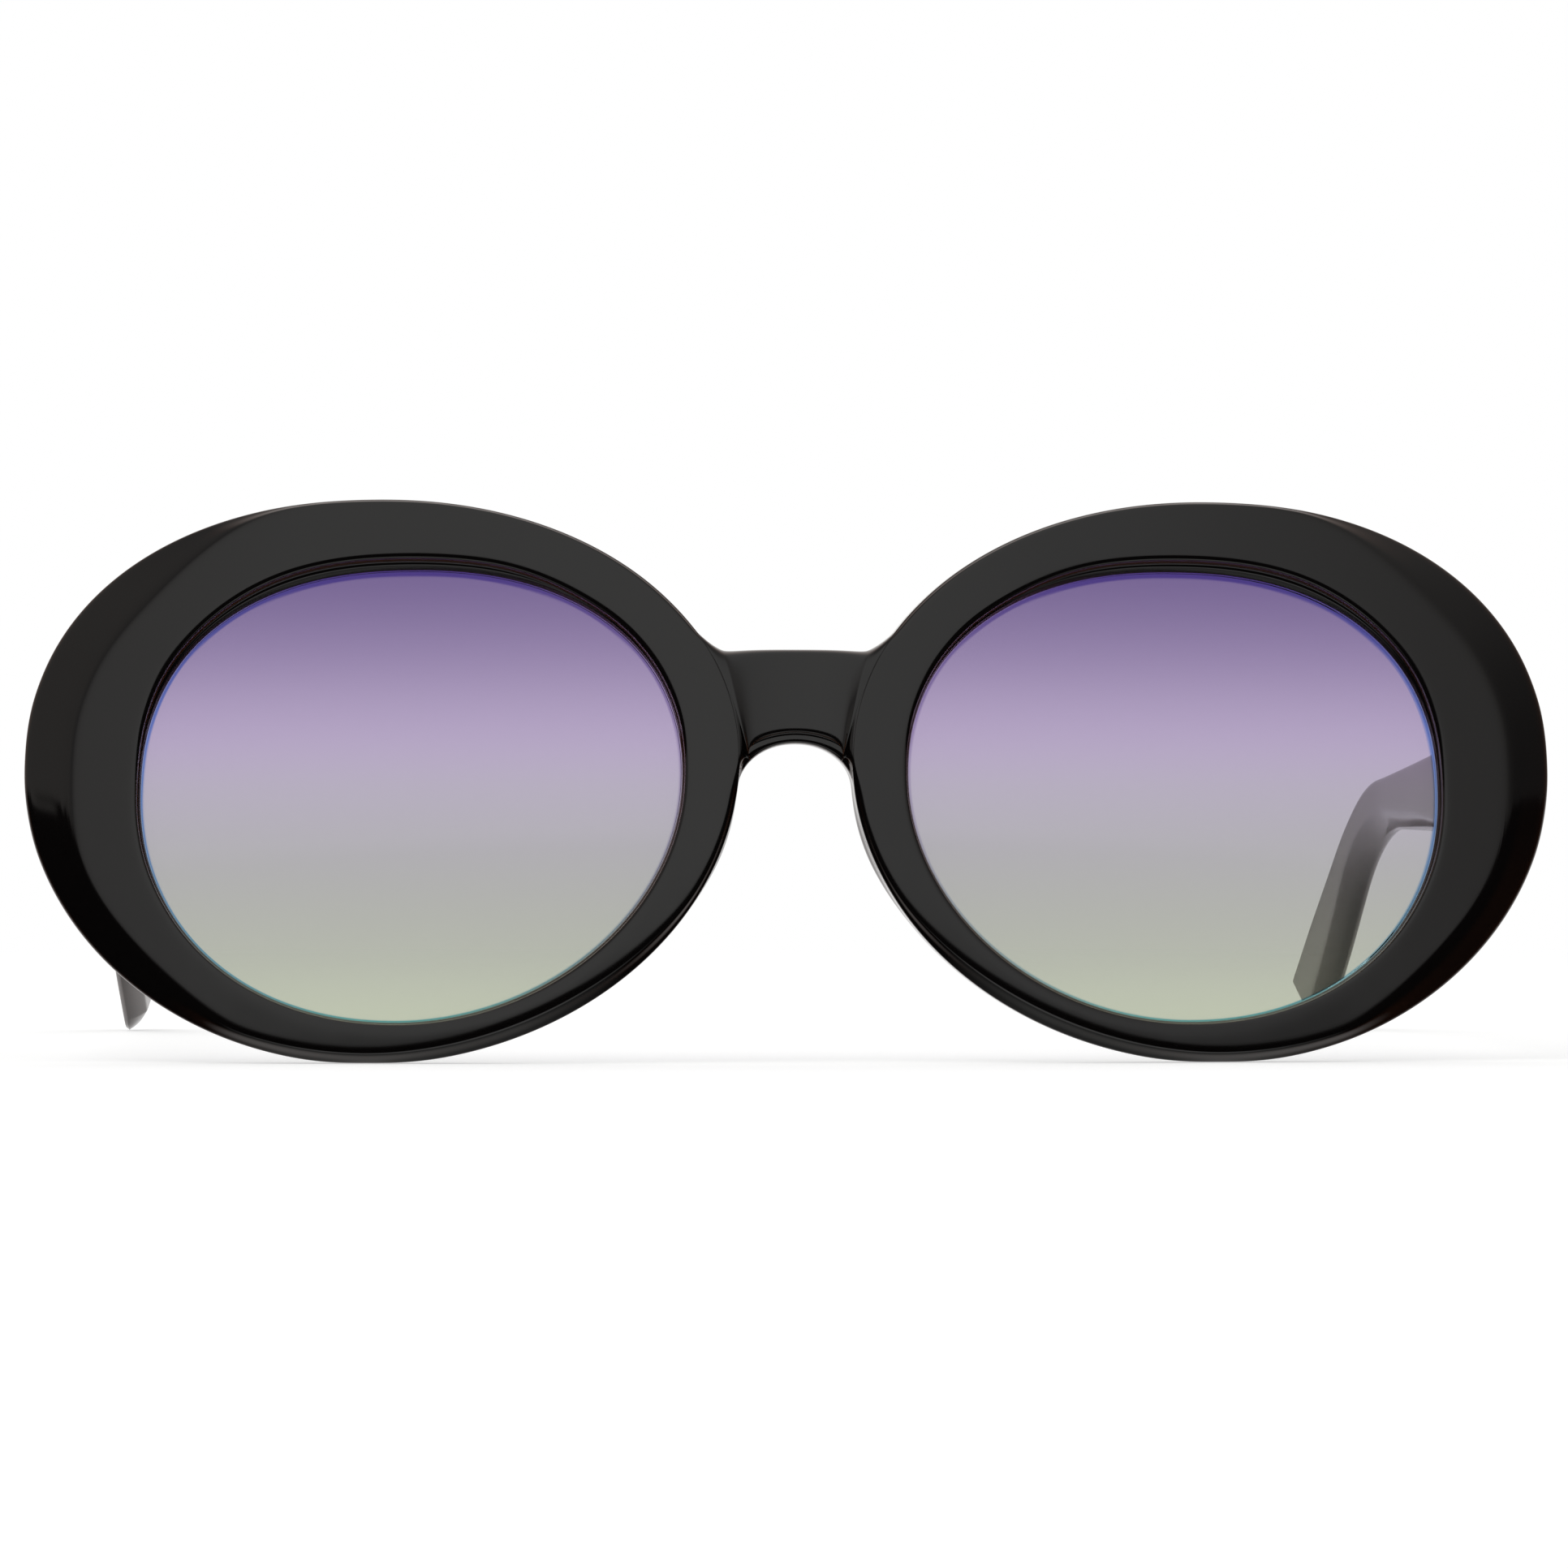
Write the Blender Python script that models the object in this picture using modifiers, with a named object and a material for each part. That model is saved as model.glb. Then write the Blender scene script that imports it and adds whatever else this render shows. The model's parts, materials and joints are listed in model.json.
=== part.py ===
# Sunglasses with a thick one-piece plastic front, two tinted lenses and two temples on five-knuckle hinges.
# Metres, +Z up. The front looks along -Y, +X is the viewer's right, and the temples stand open, pointing back.
# The part stands on the bottoms of its rims and on its temple tips, with its origin on that surface.

import math

import bmesh
import bpy
from mathutils import Matrix

mm = 0.001

# Lens opening, seen from the front: its distance from the other one, and its half sizes from the eye centre
bridge_width = 22.0 * mm
lens_temporal = 25.8 * mm
lens_top = 20.8 * mm
lens_nasal = 26.5 * mm
lens_bottom = 22.9 * mm
lens_roundness_shares = (2.33, 2.20, 1.97, 2.11)
lens_slant_share = -0.05

# How far the front face stays clear of the lens opening on each side
reveal_temporal = 0.8 * mm
reveal_top = 1.5 * mm
reveal_nasal = 0.3 * mm
reveal_bottom = 0.3 * mm

# Rim: its width round the lens opening, and how far its own centre lies out and up from the eye centre
rim_width_temporal = 11.5 * mm
rim_width_top = 6.9 * mm
rim_width_nasal = 5.55 * mm
rim_width_bottom = 4.1 * mm
rim_shift_out = 3.1 * mm
rim_shift_up = 1.8 * mm
rim_roundness_shares = (2.24, 2.06, 1.98, 1.98)
rim_slant_share = -0.027
foot_trim = 0.2 * mm

# Front: bend, thickness and edges
front_radius = 400.0 * mm
front_thickness = 4.6 * mm
edge_round = 0.35 * mm
back_round = 0.7 * mm

# Bevel between the front face and the outside of the rim
bevel_temporal = 4.6 * mm
bevel_bottom = 1.3 * mm
bevel_least = 0.3 * mm
bevel_drop = 2.3 * mm
bevel_power_share = 0.6
bevel_spread_shares = (0.2, 0.85)

# Lens and the groove that holds it
lens_thickness = 2.0 * mm
lens_set_back = 2.6 * mm
lens_bulge = 0.8 * mm
groove_depth = 0.9 * mm
seat_gap = 0.3 * mm
lens_ring_shares = (0.32, 0.64, 0.86)

# Bridge, with its heights measured from the eye centre
bridge_rise = 13.2 * mm
bridge_inset = 1.4 * mm
bridge_recess = 0.6 * mm
bridge_round = 0.9 * mm
bridge_fillet_reach = 3.4 * mm
bridge_fillet_rise = 1.5 * mm
arch_rise = 4.0 * mm
arch_foot_drop = 1.8 * mm
arch_power_share = 2.2
arch_lip_height = 1.3 * mm
arch_lip_proud = 0.35 * mm
bridge_station_shares = (-0.2, 0.0, 0.13, 0.26, 0.38, 0.46, 0.52, 0.57, 0.62, 0.7, 0.8, 0.9, 1.0)

# Nose pads, moulded in one with the rims' nasal sides
pad_drop = 6.2 * mm
pad_half_length = 8.2 * mm
pad_depth = 4.8 * mm
pad_width = 1.9 * mm
pad_flare = 1.6 * mm
pad_proud = 0.5 * mm
pad_shoulder_share = 0.85

# End pieces, which carry the hinges, measured from the outside of the rim
end_inset = 1.1 * mm
end_width = 9.4 * mm
end_depth = 2.2 * mm
end_half_height = 6.3 * mm
end_bevel = 0.9 * mm

# Hinges: an upright axis behind each end piece
hinge_inset = 7.0 * mm
hinge_set_back = 2.05 * mm
hinge_rise = 0.45 * mm
knuckle_count = 5
knuckle_height = 0.75 * mm
knuckle_gap = 0.25 * mm
knuckle_radius = 1.25 * mm
arm_half_width = 0.9 * mm
screw_radius = 0.6 * mm
screw_head_radius = 1.1 * mm
screw_head_height = 0.5 * mm
screw_slot_width = 0.3 * mm
screw_slot_depth = 0.25 * mm
screw_tail = 0.3 * mm
leaf_thickness = 1.0 * mm
leaf_margin = 0.1 * mm
leaf_proud = 0.2 * mm
temple_leaf_length = 5.4 * mm
temple_leaf_start = 1.2 * mm
temple_tang_start = 1.5 * mm
temple_tang_end = 3.5 * mm
temple_tang_depth = 1.5 * mm
tang_half_height = 1.0 * mm
front_leaf_inward = 2.7 * mm
front_leaf_outward = 1.4 * mm
front_leaf_sink = 0.5 * mm
anchor_depth = 3.0 * mm
anchor_inward = 1.5 * mm
anchor_outward = 0.5 * mm
anchor_half_height = 1.5 * mm

# Temples, measured from the hinge axis
temple_inner = 1.8 * mm
temple_butt_thickness = 4.9 * mm
temple_waist_thickness = 3.6 * mm
temple_tip_thickness = 3.1 * mm
temple_butt_half_height = 5.3 * mm
temple_waist_half_height = 2.6 * mm
temple_tip_half_height = 4.35 * mm
temple_waist_at = 81.5 * mm
temple_bend_radius = 61.0 * mm
temple_bend_deg = 29.0
temple_flare_start = 103.0 * mm
temple_flare_end = 134.0 * mm
temple_hug_start = 55.0 * mm
temple_hug = 2.5 * mm
temple_edge_depth = 0.9 * mm
temple_edge_share = 0.34
temple_outer_round = 0.6 * mm
straight_steps = 7
bend_steps = 8
tip_steps = 4
tip_below_degs = (14.0, 29.0, 42.0, 54.0)
tip_above_degs = (22.0, 41.0, 60.0, 74.0, 84.0)

# Tip: its end is cut at a slant, with a tighter corner above than below, and its length runs from the bend on
tip_length = 36.7 * mm
tip_slant = 6.3 * mm
tip_corner_above = 2.5 * mm
tip_corner_below = 5.9 * mm

# Core wire inside each temple
core_radius = 0.6 * mm
core_end_clearance = 7.0 * mm

# Finish of the meshes
rim_steps = 72
barrel_steps = 20
screw_steps = 16
cut_past = 1.0 * mm
merge_distance = 0.01 * mm


def tip_place(run, rise):
    """Distance behind the hinge and height of a place past the temple's bend, given along and square to its centre line."""
    at = temple_waist_at + bend_run + run * math.cos(bend_angle) + rise * math.sin(bend_angle)
    return at, rise * math.cos(bend_angle) - run * math.sin(bend_angle) - bend_drop


# Worked out from the sizes above
eye_centre_x = bridge_width / 2 + lens_nasal
eye_centre_height = lens_bottom + rim_width_bottom - foot_trim
rim_centre_x = eye_centre_x + rim_shift_out
rim_centre_height = eye_centre_height + rim_shift_up
rim_temporal = lens_temporal + rim_width_temporal - rim_shift_out
rim_top = lens_top + rim_width_top - rim_shift_up
rim_nasal = lens_nasal + rim_width_nasal + rim_shift_out
rim_bottom = lens_bottom + rim_width_bottom + rim_shift_up
rim_outside_x = rim_centre_x + rim_temporal
bridge_height = eye_centre_height + bridge_rise
arch_height = eye_centre_height + arch_rise
arch_foot_height = eye_centre_height - arch_foot_drop
pad_height = eye_centre_height - pad_drop
hinge_height = eye_centre_height + hinge_rise
arch_half_width = bridge_width / 2 - rim_width_nasal
bridge_reach = bridge_width / 2 - bridge_inset
bridge_fillet_start = bridge_reach - bridge_fillet_reach
end_outer_x = rim_outside_x - end_inset
end_inner_x = end_outer_x - end_width
end_back = rim_outside_x**2 / (2 * front_radius) + front_thickness
hinge_x = rim_outside_x - hinge_inset
hinge_y = end_back + hinge_set_back
knuckle_pitch = knuckle_height + knuckle_gap
hinge_half_height = (knuckle_count * knuckle_pitch - knuckle_gap) / 2
leaf_half_height = hinge_half_height + leaf_margin
temple_start = seat_gap - hinge_set_back
bend_angle = math.radians(temple_bend_deg)
bend_drop = temple_bend_radius * (1 - math.cos(bend_angle))
bend_run = temple_bend_radius * math.sin(bend_angle)
slant_angle = math.atan2(tip_slant, 2 * temple_tip_half_height)
above_tangent = tip_corner_above / math.tan(math.pi / 4 - slant_angle / 2)
below_tangent = tip_corner_below / math.tan(math.pi / 4 + slant_angle / 2)
above_run = tip_length - above_tangent
above_rise = temple_tip_half_height - tip_corner_above
below_run = tip_length - tip_slant - below_tangent
below_rise = tip_corner_below - temple_tip_half_height
above_at, above_height = tip_place(above_run, above_rise)
below_at, below_height = tip_place(below_run, below_rise)
temple_reach = above_at + tip_corner_above
core_end_at = tip_place(below_run, 0)[0] - core_end_clearance

# The hinges are tilted by so much that the open temples stand on their tips
foot_fall = math.asin((hinge_height - tip_corner_below) / math.hypot(below_at, below_height))
hinge_tilt = foot_fall - math.atan2(-below_height, below_at)
open_reach = above_at * math.cos(hinge_tilt) + above_height * math.sin(hinge_tilt)
part_depth = hinge_y + open_reach + tip_corner_above

# Outlines: centre, then half sizes and roundness by quadrant, starting at the temple side and going over the top
lens_outline = {
    "centre": (eye_centre_x, eye_centre_height),
    "halves": (lens_temporal, lens_top, lens_nasal, lens_bottom),
    "roundness_shares": lens_roundness_shares,
    "slant_share": lens_slant_share,
}
face_outline = {
    "centre": (eye_centre_x, eye_centre_height),
    "halves": (
        lens_temporal + reveal_temporal,
        lens_top + reveal_top,
        lens_nasal + reveal_nasal,
        lens_bottom + reveal_bottom,
    ),
    "roundness_shares": lens_roundness_shares,
    "slant_share": lens_slant_share,
}
rim_outline = {
    "centre": (rim_centre_x, rim_centre_height),
    "halves": (rim_temporal, rim_top, rim_nasal, rim_bottom),
    "roundness_shares": rim_roundness_shares,
    "slant_share": rim_slant_share,
}

for old in list(bpy.data.objects):
    bpy.data.objects.remove(old)

part = bpy.data.collections.new("sunglasses")
cutters = bpy.data.collections.new("cutters")
bpy.context.scene.collection.children.link(part)
bpy.context.scene.collection.children.link(cutters)


def material(name, colour, roughness, metallic=0.0, alpha=1.0):
    made = bpy.data.materials.new(name)
    made.use_nodes = True
    shader = made.node_tree.nodes["Principled BSDF"]
    shader.inputs["Base Color"].default_value = (*colour, 1.0)
    shader.inputs["Roughness"].default_value = roughness
    shader.inputs["Metallic"].default_value = metallic
    shader.inputs["Alpha"].default_value = alpha
    return made


def black_plastic(name):
    return material(name, (0.010, 0.010, 0.011), 0.1)


def nickel(name):
    return material(name, (0.62, 0.60, 0.57), 0.3, metallic=1.0)


def steel(name):
    return material(name, (0.45, 0.45, 0.46), 0.35, metallic=1.0)


def tinted_lens(name):
    return material(name, (0.38, 0.32, 0.44), 0.05, alpha=0.6)


def add_object(name, bm, parent, finish=None):
    """A new object from a bmesh. It is a part if it has a finish, and otherwise a cutter."""
    mesh = bpy.data.meshes.new(name)
    bmesh.ops.recalc_face_normals(bm, faces=bm.faces)
    bm.to_mesh(mesh)
    bm.free()
    made = bpy.data.objects.new(name, mesh)
    made.parent = parent
    if finish:
        part.objects.link(made)
        mesh.materials.append(finish)
        mesh.shade_smooth()
        mesh.set_sharp_from_angle(angle=math.radians(35))
    else:
        cutters.objects.link(made)
        made.hide_render = True
        made.display_type = "WIRE"
    return made


def add_empty(name, place, parent=None, tilt=0.0):
    made = bpy.data.objects.new(name, None)
    made.location = place
    made.rotation_euler = (-tilt, 0, 0)
    made.parent = parent
    part.objects.link(made)
    return made


def boolean(target, tool, operation):
    change = target.modifiers.new(f"{operation.lower()}_{tool.name}", "BOOLEAN")
    change.operation = operation
    change.object = tool


def block(name, low, high, parent, finish=None):
    bm = bmesh.new()
    bmesh.ops.create_cube(bm, size=1)
    sizes = [b - a for a, b in zip(low, high)]
    middle = [(a + b) / 2 for a, b in zip(low, high)]
    bmesh.ops.scale(bm, vec=sizes, verts=bm.verts)
    bmesh.ops.translate(bm, vec=middle, verts=bm.verts)
    return add_object(name, bm, parent, finish)


def rod(name, radius, start, length, turn, steps, parent, finish=None):
    """A cylinder that starts at a point and runs along +Z, turned by a matrix first."""
    bm = bmesh.new()
    bmesh.ops.create_cone(
        bm, cap_ends=True, segments=steps, radius1=radius, radius2=radius, depth=length
    )
    bmesh.ops.translate(bm, vec=(0, 0, length / 2), verts=bm.verts)
    bmesh.ops.transform(bm, matrix=Matrix.Translation(start) @ turn, verts=bm.verts)
    return add_object(name, bm, parent, finish)


def prism(name, outline, low, high, turn, parent, finish=None):
    """An outline in the XY plane, drawn up from one height to another and then turned by a matrix."""
    bm = bmesh.new()
    base = bm.faces.new([bm.verts.new((x, y, low)) for x, y in outline])
    drawn = bmesh.ops.extrude_face_region(bm, geom=[base])
    top = [item for item in drawn["geom"] if isinstance(item, bmesh.types.BMVert)]
    bmesh.ops.translate(bm, vec=(0, 0, high - low), verts=top)
    bmesh.ops.transform(bm, matrix=turn, verts=bm.verts)
    return add_object(name, bm, parent, finish)


def loft(name, rings, closed, parent, finish=None):
    """Skins rings of as many points each. A closed loft joins its last ring to its first, and an open one has caps."""
    bm = bmesh.new()
    rows = [[bm.verts.new(point) for point in ring] for ring in rings]
    count = len(rings[0])
    pairs = list(zip(rows, rows[1:]))
    if closed:
        pairs.append((rows[-1], rows[0]))
    else:
        bm.faces.new(rows[0])
        bm.faces.new(rows[-1])
    for one, other in pairs:
        for k in range(count):
            following = (k + 1) % count
            bm.faces.new((one[k], one[following], other[following], other[k]))
    return add_object(name, bm, parent, finish)


def outline_point(outline, turn):
    """A point of an outline of four quarter superellipses, leaned sideways by its slant."""
    across, up = math.cos(turn), math.sin(turn)
    temporal, top, nasal, bottom = outline["halves"]
    half_width = temporal if across > 0 else nasal
    half_height = top if up > 0 else bottom
    quarter = int(turn / (math.pi / 2)) % 4
    power = 2 / outline["roundness_shares"][quarter]
    x = half_width * math.copysign(abs(across) ** power, across)
    z = half_height * math.copysign(abs(up) ** power, up)
    centre_x, centre_z = outline["centre"]
    return centre_x + x + outline["slant_share"] * z, centre_z + z


def bend(x):
    """How far the bent front lies behind its middle at a distance from the middle plane."""
    return x * x / (2 * front_radius)


def smooth_step(value, low, high):
    share = min(max((value - low) / (high - low), 0), 1)
    return share * share * (3 - 2 * share)


def bevel_width(turn):
    side = smooth_step(math.cos(turn), *bevel_spread_shares)
    below = smooth_step(-math.sin(turn), *bevel_spread_shares)
    sides = (bevel_temporal - bevel_least) * side
    return bevel_least + max(sides, (bevel_bottom - bevel_least) * below)


def towards(one, other):
    """Unit direction from one outline point to another."""
    x, z = other[0] - one[0], other[1] - one[1]
    length = math.hypot(x, z)
    return x / length, z / length


def moved(point, direction, distance):
    return point[0] + direction[0] * distance, point[1] + direction[1] * distance


def on_front(point, depth):
    """A point of the bent front, from its place seen from the front and its depth behind the face."""
    x, z = point
    return x, bend(x) + depth, max(z, 0)


def pad_lift(point, turn):
    """How far the nose pad has grown at a place on the rim: 1 at its middle and 0 beyond its ends."""
    along = (point[1] - pad_height) / pad_half_length
    if math.cos(turn) > 0 or abs(along) > 1:
        return 0
    return (1 - along * along) ** 2


def rim_ring(turn):
    """Section of the rim, from the face edge over the outside, the back and the nose pad to the lens groove."""
    inner = outline_point(lens_outline, turn)
    face = outline_point(face_outline, turn)
    outer = outline_point(rim_outline, turn)
    out = towards(inner, outer)
    width = bevel_width(turn)
    drop = bevel_drop * (width / bevel_temporal) ** bevel_power_share
    half_groove = lens_thickness / 2
    lift = pad_lift(outer, turn)
    pad_edge = moved(outer, out, -pad_flare * lift)
    pad_back = front_thickness + pad_depth * lift
    shoulder = front_thickness + pad_depth * pad_shoulder_share * lift
    return [
        on_front(face, edge_round),
        on_front(moved(face, out, edge_round), 0),
        on_front(moved(outer, out, -width), 0),
        on_front(moved(outer, out, -edge_round), drop),
        on_front(outer, drop + edge_round),
        on_front(moved(outer, out, pad_proud * lift), front_thickness - back_round),
        on_front(pad_edge, pad_back - back_round / 2),
        on_front(moved(pad_edge, out, -back_round), pad_back),
        on_front(moved(pad_edge, out, -back_round - pad_width), shoulder),
        on_front(moved(inner, out, back_round), front_thickness),
        on_front(inner, front_thickness - edge_round),
        on_front(inner, lens_set_back + half_groove),
        on_front(moved(inner, out, groove_depth), lens_set_back),
        on_front(inner, lens_set_back - half_groove),
    ]


def lens_rings(side):
    """Rings of a lens, from the middle of its front over its V edge to the middle of its back."""
    half = lens_thickness / 2
    centre_x, centre_z = lens_outline["centre"]
    turns = [2 * math.pi * k / rim_steps for k in range(rim_steps)]
    edges = []
    for turn in turns:
        inner = outline_point(lens_outline, turn)
        out = towards(inner, outline_point(rim_outline, turn))
        apex = moved(inner, out, groove_depth - seat_gap * math.sqrt(2))
        edges.append((moved(inner, out, -seat_gap), apex))

    def ring(share, depth):
        points = []
        for corner, _ in edges:
            x = centre_x + (corner[0] - centre_x) * share
            z = centre_z + (corner[1] - centre_z) * share
            y = bend(x) + depth - lens_bulge * (1 - share * share)
            points.append((side * x, y, z))
        return points

    front = [ring(share, lens_set_back - half) for share in (*lens_ring_shares, 1)]
    apexes = [(side * a[0], bend(a[0]) + lens_set_back, a[1]) for _, a in edges]
    back = [ring(share, lens_set_back + half) for share in (1, *reversed(lens_ring_shares))]
    return [*front, apexes, *back]


def arch(x):
    """Height of the underside of the bridge."""
    share = min(abs(x) / arch_half_width, 1)
    rise = (1 - share**arch_power_share) ** (1 / arch_power_share)
    return arch_foot_height + (arch_height - arch_foot_height) * rise


def bridge_ring(x):
    """Upright section of the bridge, with the lip along its arch."""
    past = max(x - bridge_fillet_start, 0) / (bridge_reach - bridge_fillet_start)
    top = bridge_height + bridge_fillet_rise * past * past
    low = arch(x)
    face = bend(x) + bridge_recess
    lip = face - arch_lip_proud
    back = bend(x) + front_thickness
    r = bridge_round
    section = [
        (face, top - r),
        (face + r, top),
        (back - r, top),
        (back, top - r),
        (back, low + r),
        (back - r, low),
        (lip + r, low),
        (lip, low + r / 2),
        (lip, low + arch_lip_height),
        (face, low + arch_lip_height + arch_lip_proud),
    ]
    return [(x, y, z) for y, z in section]


def make_front(root):
    """The right half of the front, mirrored: rim with its nose pad, half bridge and end piece, and the hinge's seat."""
    turns = [2 * math.pi * k / rim_steps for k in range(rim_steps)]
    finish = black_plastic("front_plastic")
    front = loft("front_frame", [rim_ring(turn) for turn in turns], True, root, finish)
    stations = [share * bridge_reach for share in bridge_station_shares]
    bridge = loft("bridge_half", [bridge_ring(x) for x in stations], False, root)
    boolean(front, bridge, "UNION")

    low = (end_inner_x, end_back - end_depth, hinge_height - end_half_height)
    high = (end_outer_x, end_back, hinge_height + end_half_height)
    end = block("end_piece", low, high, root)
    rounding = end.modifiers.new("rounding", "BEVEL")
    rounding.width = end_bevel
    rounding.segments = 2
    boolean(front, end, "UNION")

    low = (
        hinge_x - front_leaf_inward - seat_gap,
        end_back - front_leaf_sink - seat_gap,
        hinge_height - leaf_half_height - seat_gap,
    )
    high = (
        hinge_x + front_leaf_outward + seat_gap,
        end_back + cut_past,
        hinge_height + leaf_half_height + seat_gap,
    )
    boolean(front, block("front_leaf_seat", low, high, root), "DIFFERENCE")
    low = (
        hinge_x - anchor_inward - seat_gap,
        end_back - anchor_depth - seat_gap,
        hinge_height - anchor_half_height - seat_gap,
    )
    high = (
        hinge_x + anchor_outward + seat_gap,
        end_back,
        hinge_height + anchor_half_height + seat_gap,
    )
    boolean(front, block("front_anchor_seat", low, high, root), "DIFFERENCE")

    halved = front.modifiers.new("both_halves", "MIRROR")
    halved.use_bisect_axis = (True, False, False)
    halved.merge_threshold = merge_distance
    return front


def make_lens(label, side, root):
    return loft(f"lens_{label}", lens_rings(side), False, root, tinted_lens(f"lens_tint_{label}"))


def sided(side, low, high):
    """The corners of a block given for the right side, on the side asked for."""
    if side > 0:
        return low, high
    return (-high[0], low[1], low[2]), (-low[0], high[1], high[2])


def arc(centre, radius, first_deg, last_deg, steps):
    points = []
    for k in range(steps + 1):
        angle = math.radians(first_deg + (last_deg - first_deg) * k / steps)
        x = centre[0] + radius * math.cos(angle)
        points.append((x, centre[1] + radius * math.sin(angle)))
    return points


def add_knuckles(leaf, first, reach, turn, pivot):
    """Joins every second knuckle to a leaf. Each is round, with an arm that reaches to the leaf along +X, turned."""
    half_deg = math.degrees(math.asin(arm_half_width / knuckle_radius))
    outline = arc((0, 0), knuckle_radius, half_deg, 360 - half_deg, barrel_steps)
    outline += [(reach, -arm_half_width), (reach, arm_half_width)]
    for number in range(first, knuckle_count, 2):
        low = number * knuckle_pitch - hinge_half_height
        name = f"{leaf.name}_knuckle_{number}"
        knuckle = prism(name, outline, low, low + knuckle_height, turn, pivot)
        boolean(leaf, knuckle, "UNION")
    start = (0, 0, -hinge_half_height - cut_past)
    length = 2 * (hinge_half_height + cut_past)
    radius = screw_radius + knuckle_gap
    hole = rod(f"{leaf.name}_hole", radius, start, length, Matrix(), screw_steps, pivot)
    boolean(leaf, hole, "DIFFERENCE")


def make_front_leaf(label, side, pivot):
    """Leaf in the end piece: a plate with two knuckles behind it and an anchor in front."""
    name = f"hinge_front_leaf_{label}"
    plate_back = leaf_thickness - front_leaf_sink - hinge_set_back
    middle = plate_back - leaf_thickness / 2
    low = (-front_leaf_inward, plate_back - leaf_thickness, -leaf_half_height)
    high = (front_leaf_outward, plate_back, leaf_half_height)
    leaf = block(name, *sided(side, low, high), pivot, nickel(f"front_leaf_nickel_{label}"))
    low = (-anchor_inward, -anchor_depth - hinge_set_back, -anchor_half_height)
    high = (anchor_outward, middle, anchor_half_height)
    boolean(leaf, block(f"{name}_anchor", *sided(side, low, high), pivot), "UNION")
    forward = Matrix.Rotation(math.radians(-90), 4, "Z")
    add_knuckles(leaf, 1, -middle, forward, pivot)
    return leaf


def leaf_plate_x():
    """Inner and outer side of the temple leaf's plate, from the hinge axis."""
    inner = temple_inner - leaf_proud
    return inner, inner + leaf_thickness


def leaf_outline(start, half_height):
    """The temple leaf seen from the side, distance back by height: square at the hinge and half round behind."""
    round_at = temple_leaf_length - leaf_half_height
    end = arc((round_at, 0), half_height, -90, 90, barrel_steps)
    return [(start, half_height), (start, -half_height), *end]


def sideways(side):
    """Turns an outline drawn as distance back by height, with its thickness, onto one side of the middle plane."""
    return Matrix(((0, 0, side, 0), (1, 0, 0, 0), (0, 1, 0, 0), (0, 0, 0, 1)))


def make_temple_leaf(label, side, pivot):
    """Leaf on the temple: a plate with a half-round end, three knuckles and a tang."""
    name = f"hinge_temple_leaf_{label}"
    inner, outer = leaf_plate_x()
    outline = leaf_outline(-temple_leaf_start, leaf_half_height)
    finish = nickel(f"temple_leaf_nickel_{label}")
    leaf = prism(name, outline, inner, outer, sideways(side), pivot, finish)
    middle = (inner + outer) / 2
    low = (middle, temple_tang_start, -tang_half_height)
    high = (outer + temple_tang_depth, temple_tang_end, tang_half_height)
    boolean(leaf, block(f"{name}_tang", *sided(side, low, high), pivot), "UNION")
    outward = Matrix.Rotation(0 if side > 0 else math.pi, 4, "Z")
    add_knuckles(leaf, 0, middle, outward, pivot)
    return leaf


def make_screw(label, pivot):
    """Slotted hinge screw, its head over the top knuckle."""
    name = f"hinge_screw_{label}"
    head_at = hinge_half_height + knuckle_gap
    start = (0, 0, -hinge_half_height - screw_tail)
    length = head_at - start[2] + screw_head_height / 2
    screw = rod(
        name, screw_radius, start, length, Matrix(), screw_steps, pivot, steel(f"steel_{label}")
    )
    head = rod(
        f"{name}_head",
        screw_head_radius,
        (0, 0, head_at),
        screw_head_height,
        Matrix(),
        barrel_steps,
        pivot,
    )
    boolean(screw, head, "UNION")
    top = head_at + screw_head_height
    low = (-screw_head_radius - cut_past, -screw_slot_width / 2, top - screw_slot_depth)
    high = (screw_head_radius + cut_past, screw_slot_width / 2, top + cut_past)
    boolean(screw, block(f"{name}_slot", low, high, pivot), "DIFFERENCE")
    return screw


def blend(low, high, share):
    return low + (high - low) * min(max(share, 0), 1)


def tip_edges(run):
    """Lower and upper edge of the tip's slanted end at a distance past the bend, from the centre line."""
    past_below = run - below_run
    past_above = run - above_run
    tangent_share = math.cos(slant_angle)
    high = temple_tip_half_height
    if past_above > 0:
        high = above_rise + math.sqrt(tip_corner_above**2 - past_above**2)
    if past_below < tip_corner_below * tangent_share:
        low = below_rise - math.sqrt(tip_corner_below**2 - past_below**2)
    elif past_above < tip_corner_above * tangent_share:
        low = temple_tip_half_height - (tip_length - run) / math.tan(slant_angle)
    else:
        low = above_rise - math.sqrt(tip_corner_above**2 - past_above**2)
    return low, high


def temple_stations():
    """Places along the temple's middle: distance back, height, slope, and how much of the height is left."""
    stations = []
    for k in range(straight_steps):
        at = blend(temple_start, temple_waist_at, k / straight_steps)
        stations.append((at, 0, 0, 1))
    for k in range(bend_steps + 1):
        angle = bend_angle * k / bend_steps
        at = temple_waist_at + temple_bend_radius * math.sin(angle)
        height = -temple_bend_radius * (1 - math.cos(angle))
        stations.append((at, height, angle, 1))
    for k in range(1, tip_steps + 1):
        stations.append((*tip_place(below_run * k / tip_steps, 0), bend_angle, 1))
    runs = [below_run + tip_corner_below * math.sin(math.radians(deg)) for deg in tip_below_degs]
    runs += [above_run + tip_corner_above * math.sin(math.radians(deg)) for deg in tip_above_degs]
    for run in runs:
        low, high = tip_edges(run)
        left = (high - low) / (2 * temple_tip_half_height)
        stations.append((*tip_place(run, (low + high) / 2), bend_angle, left))
    return stations


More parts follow.
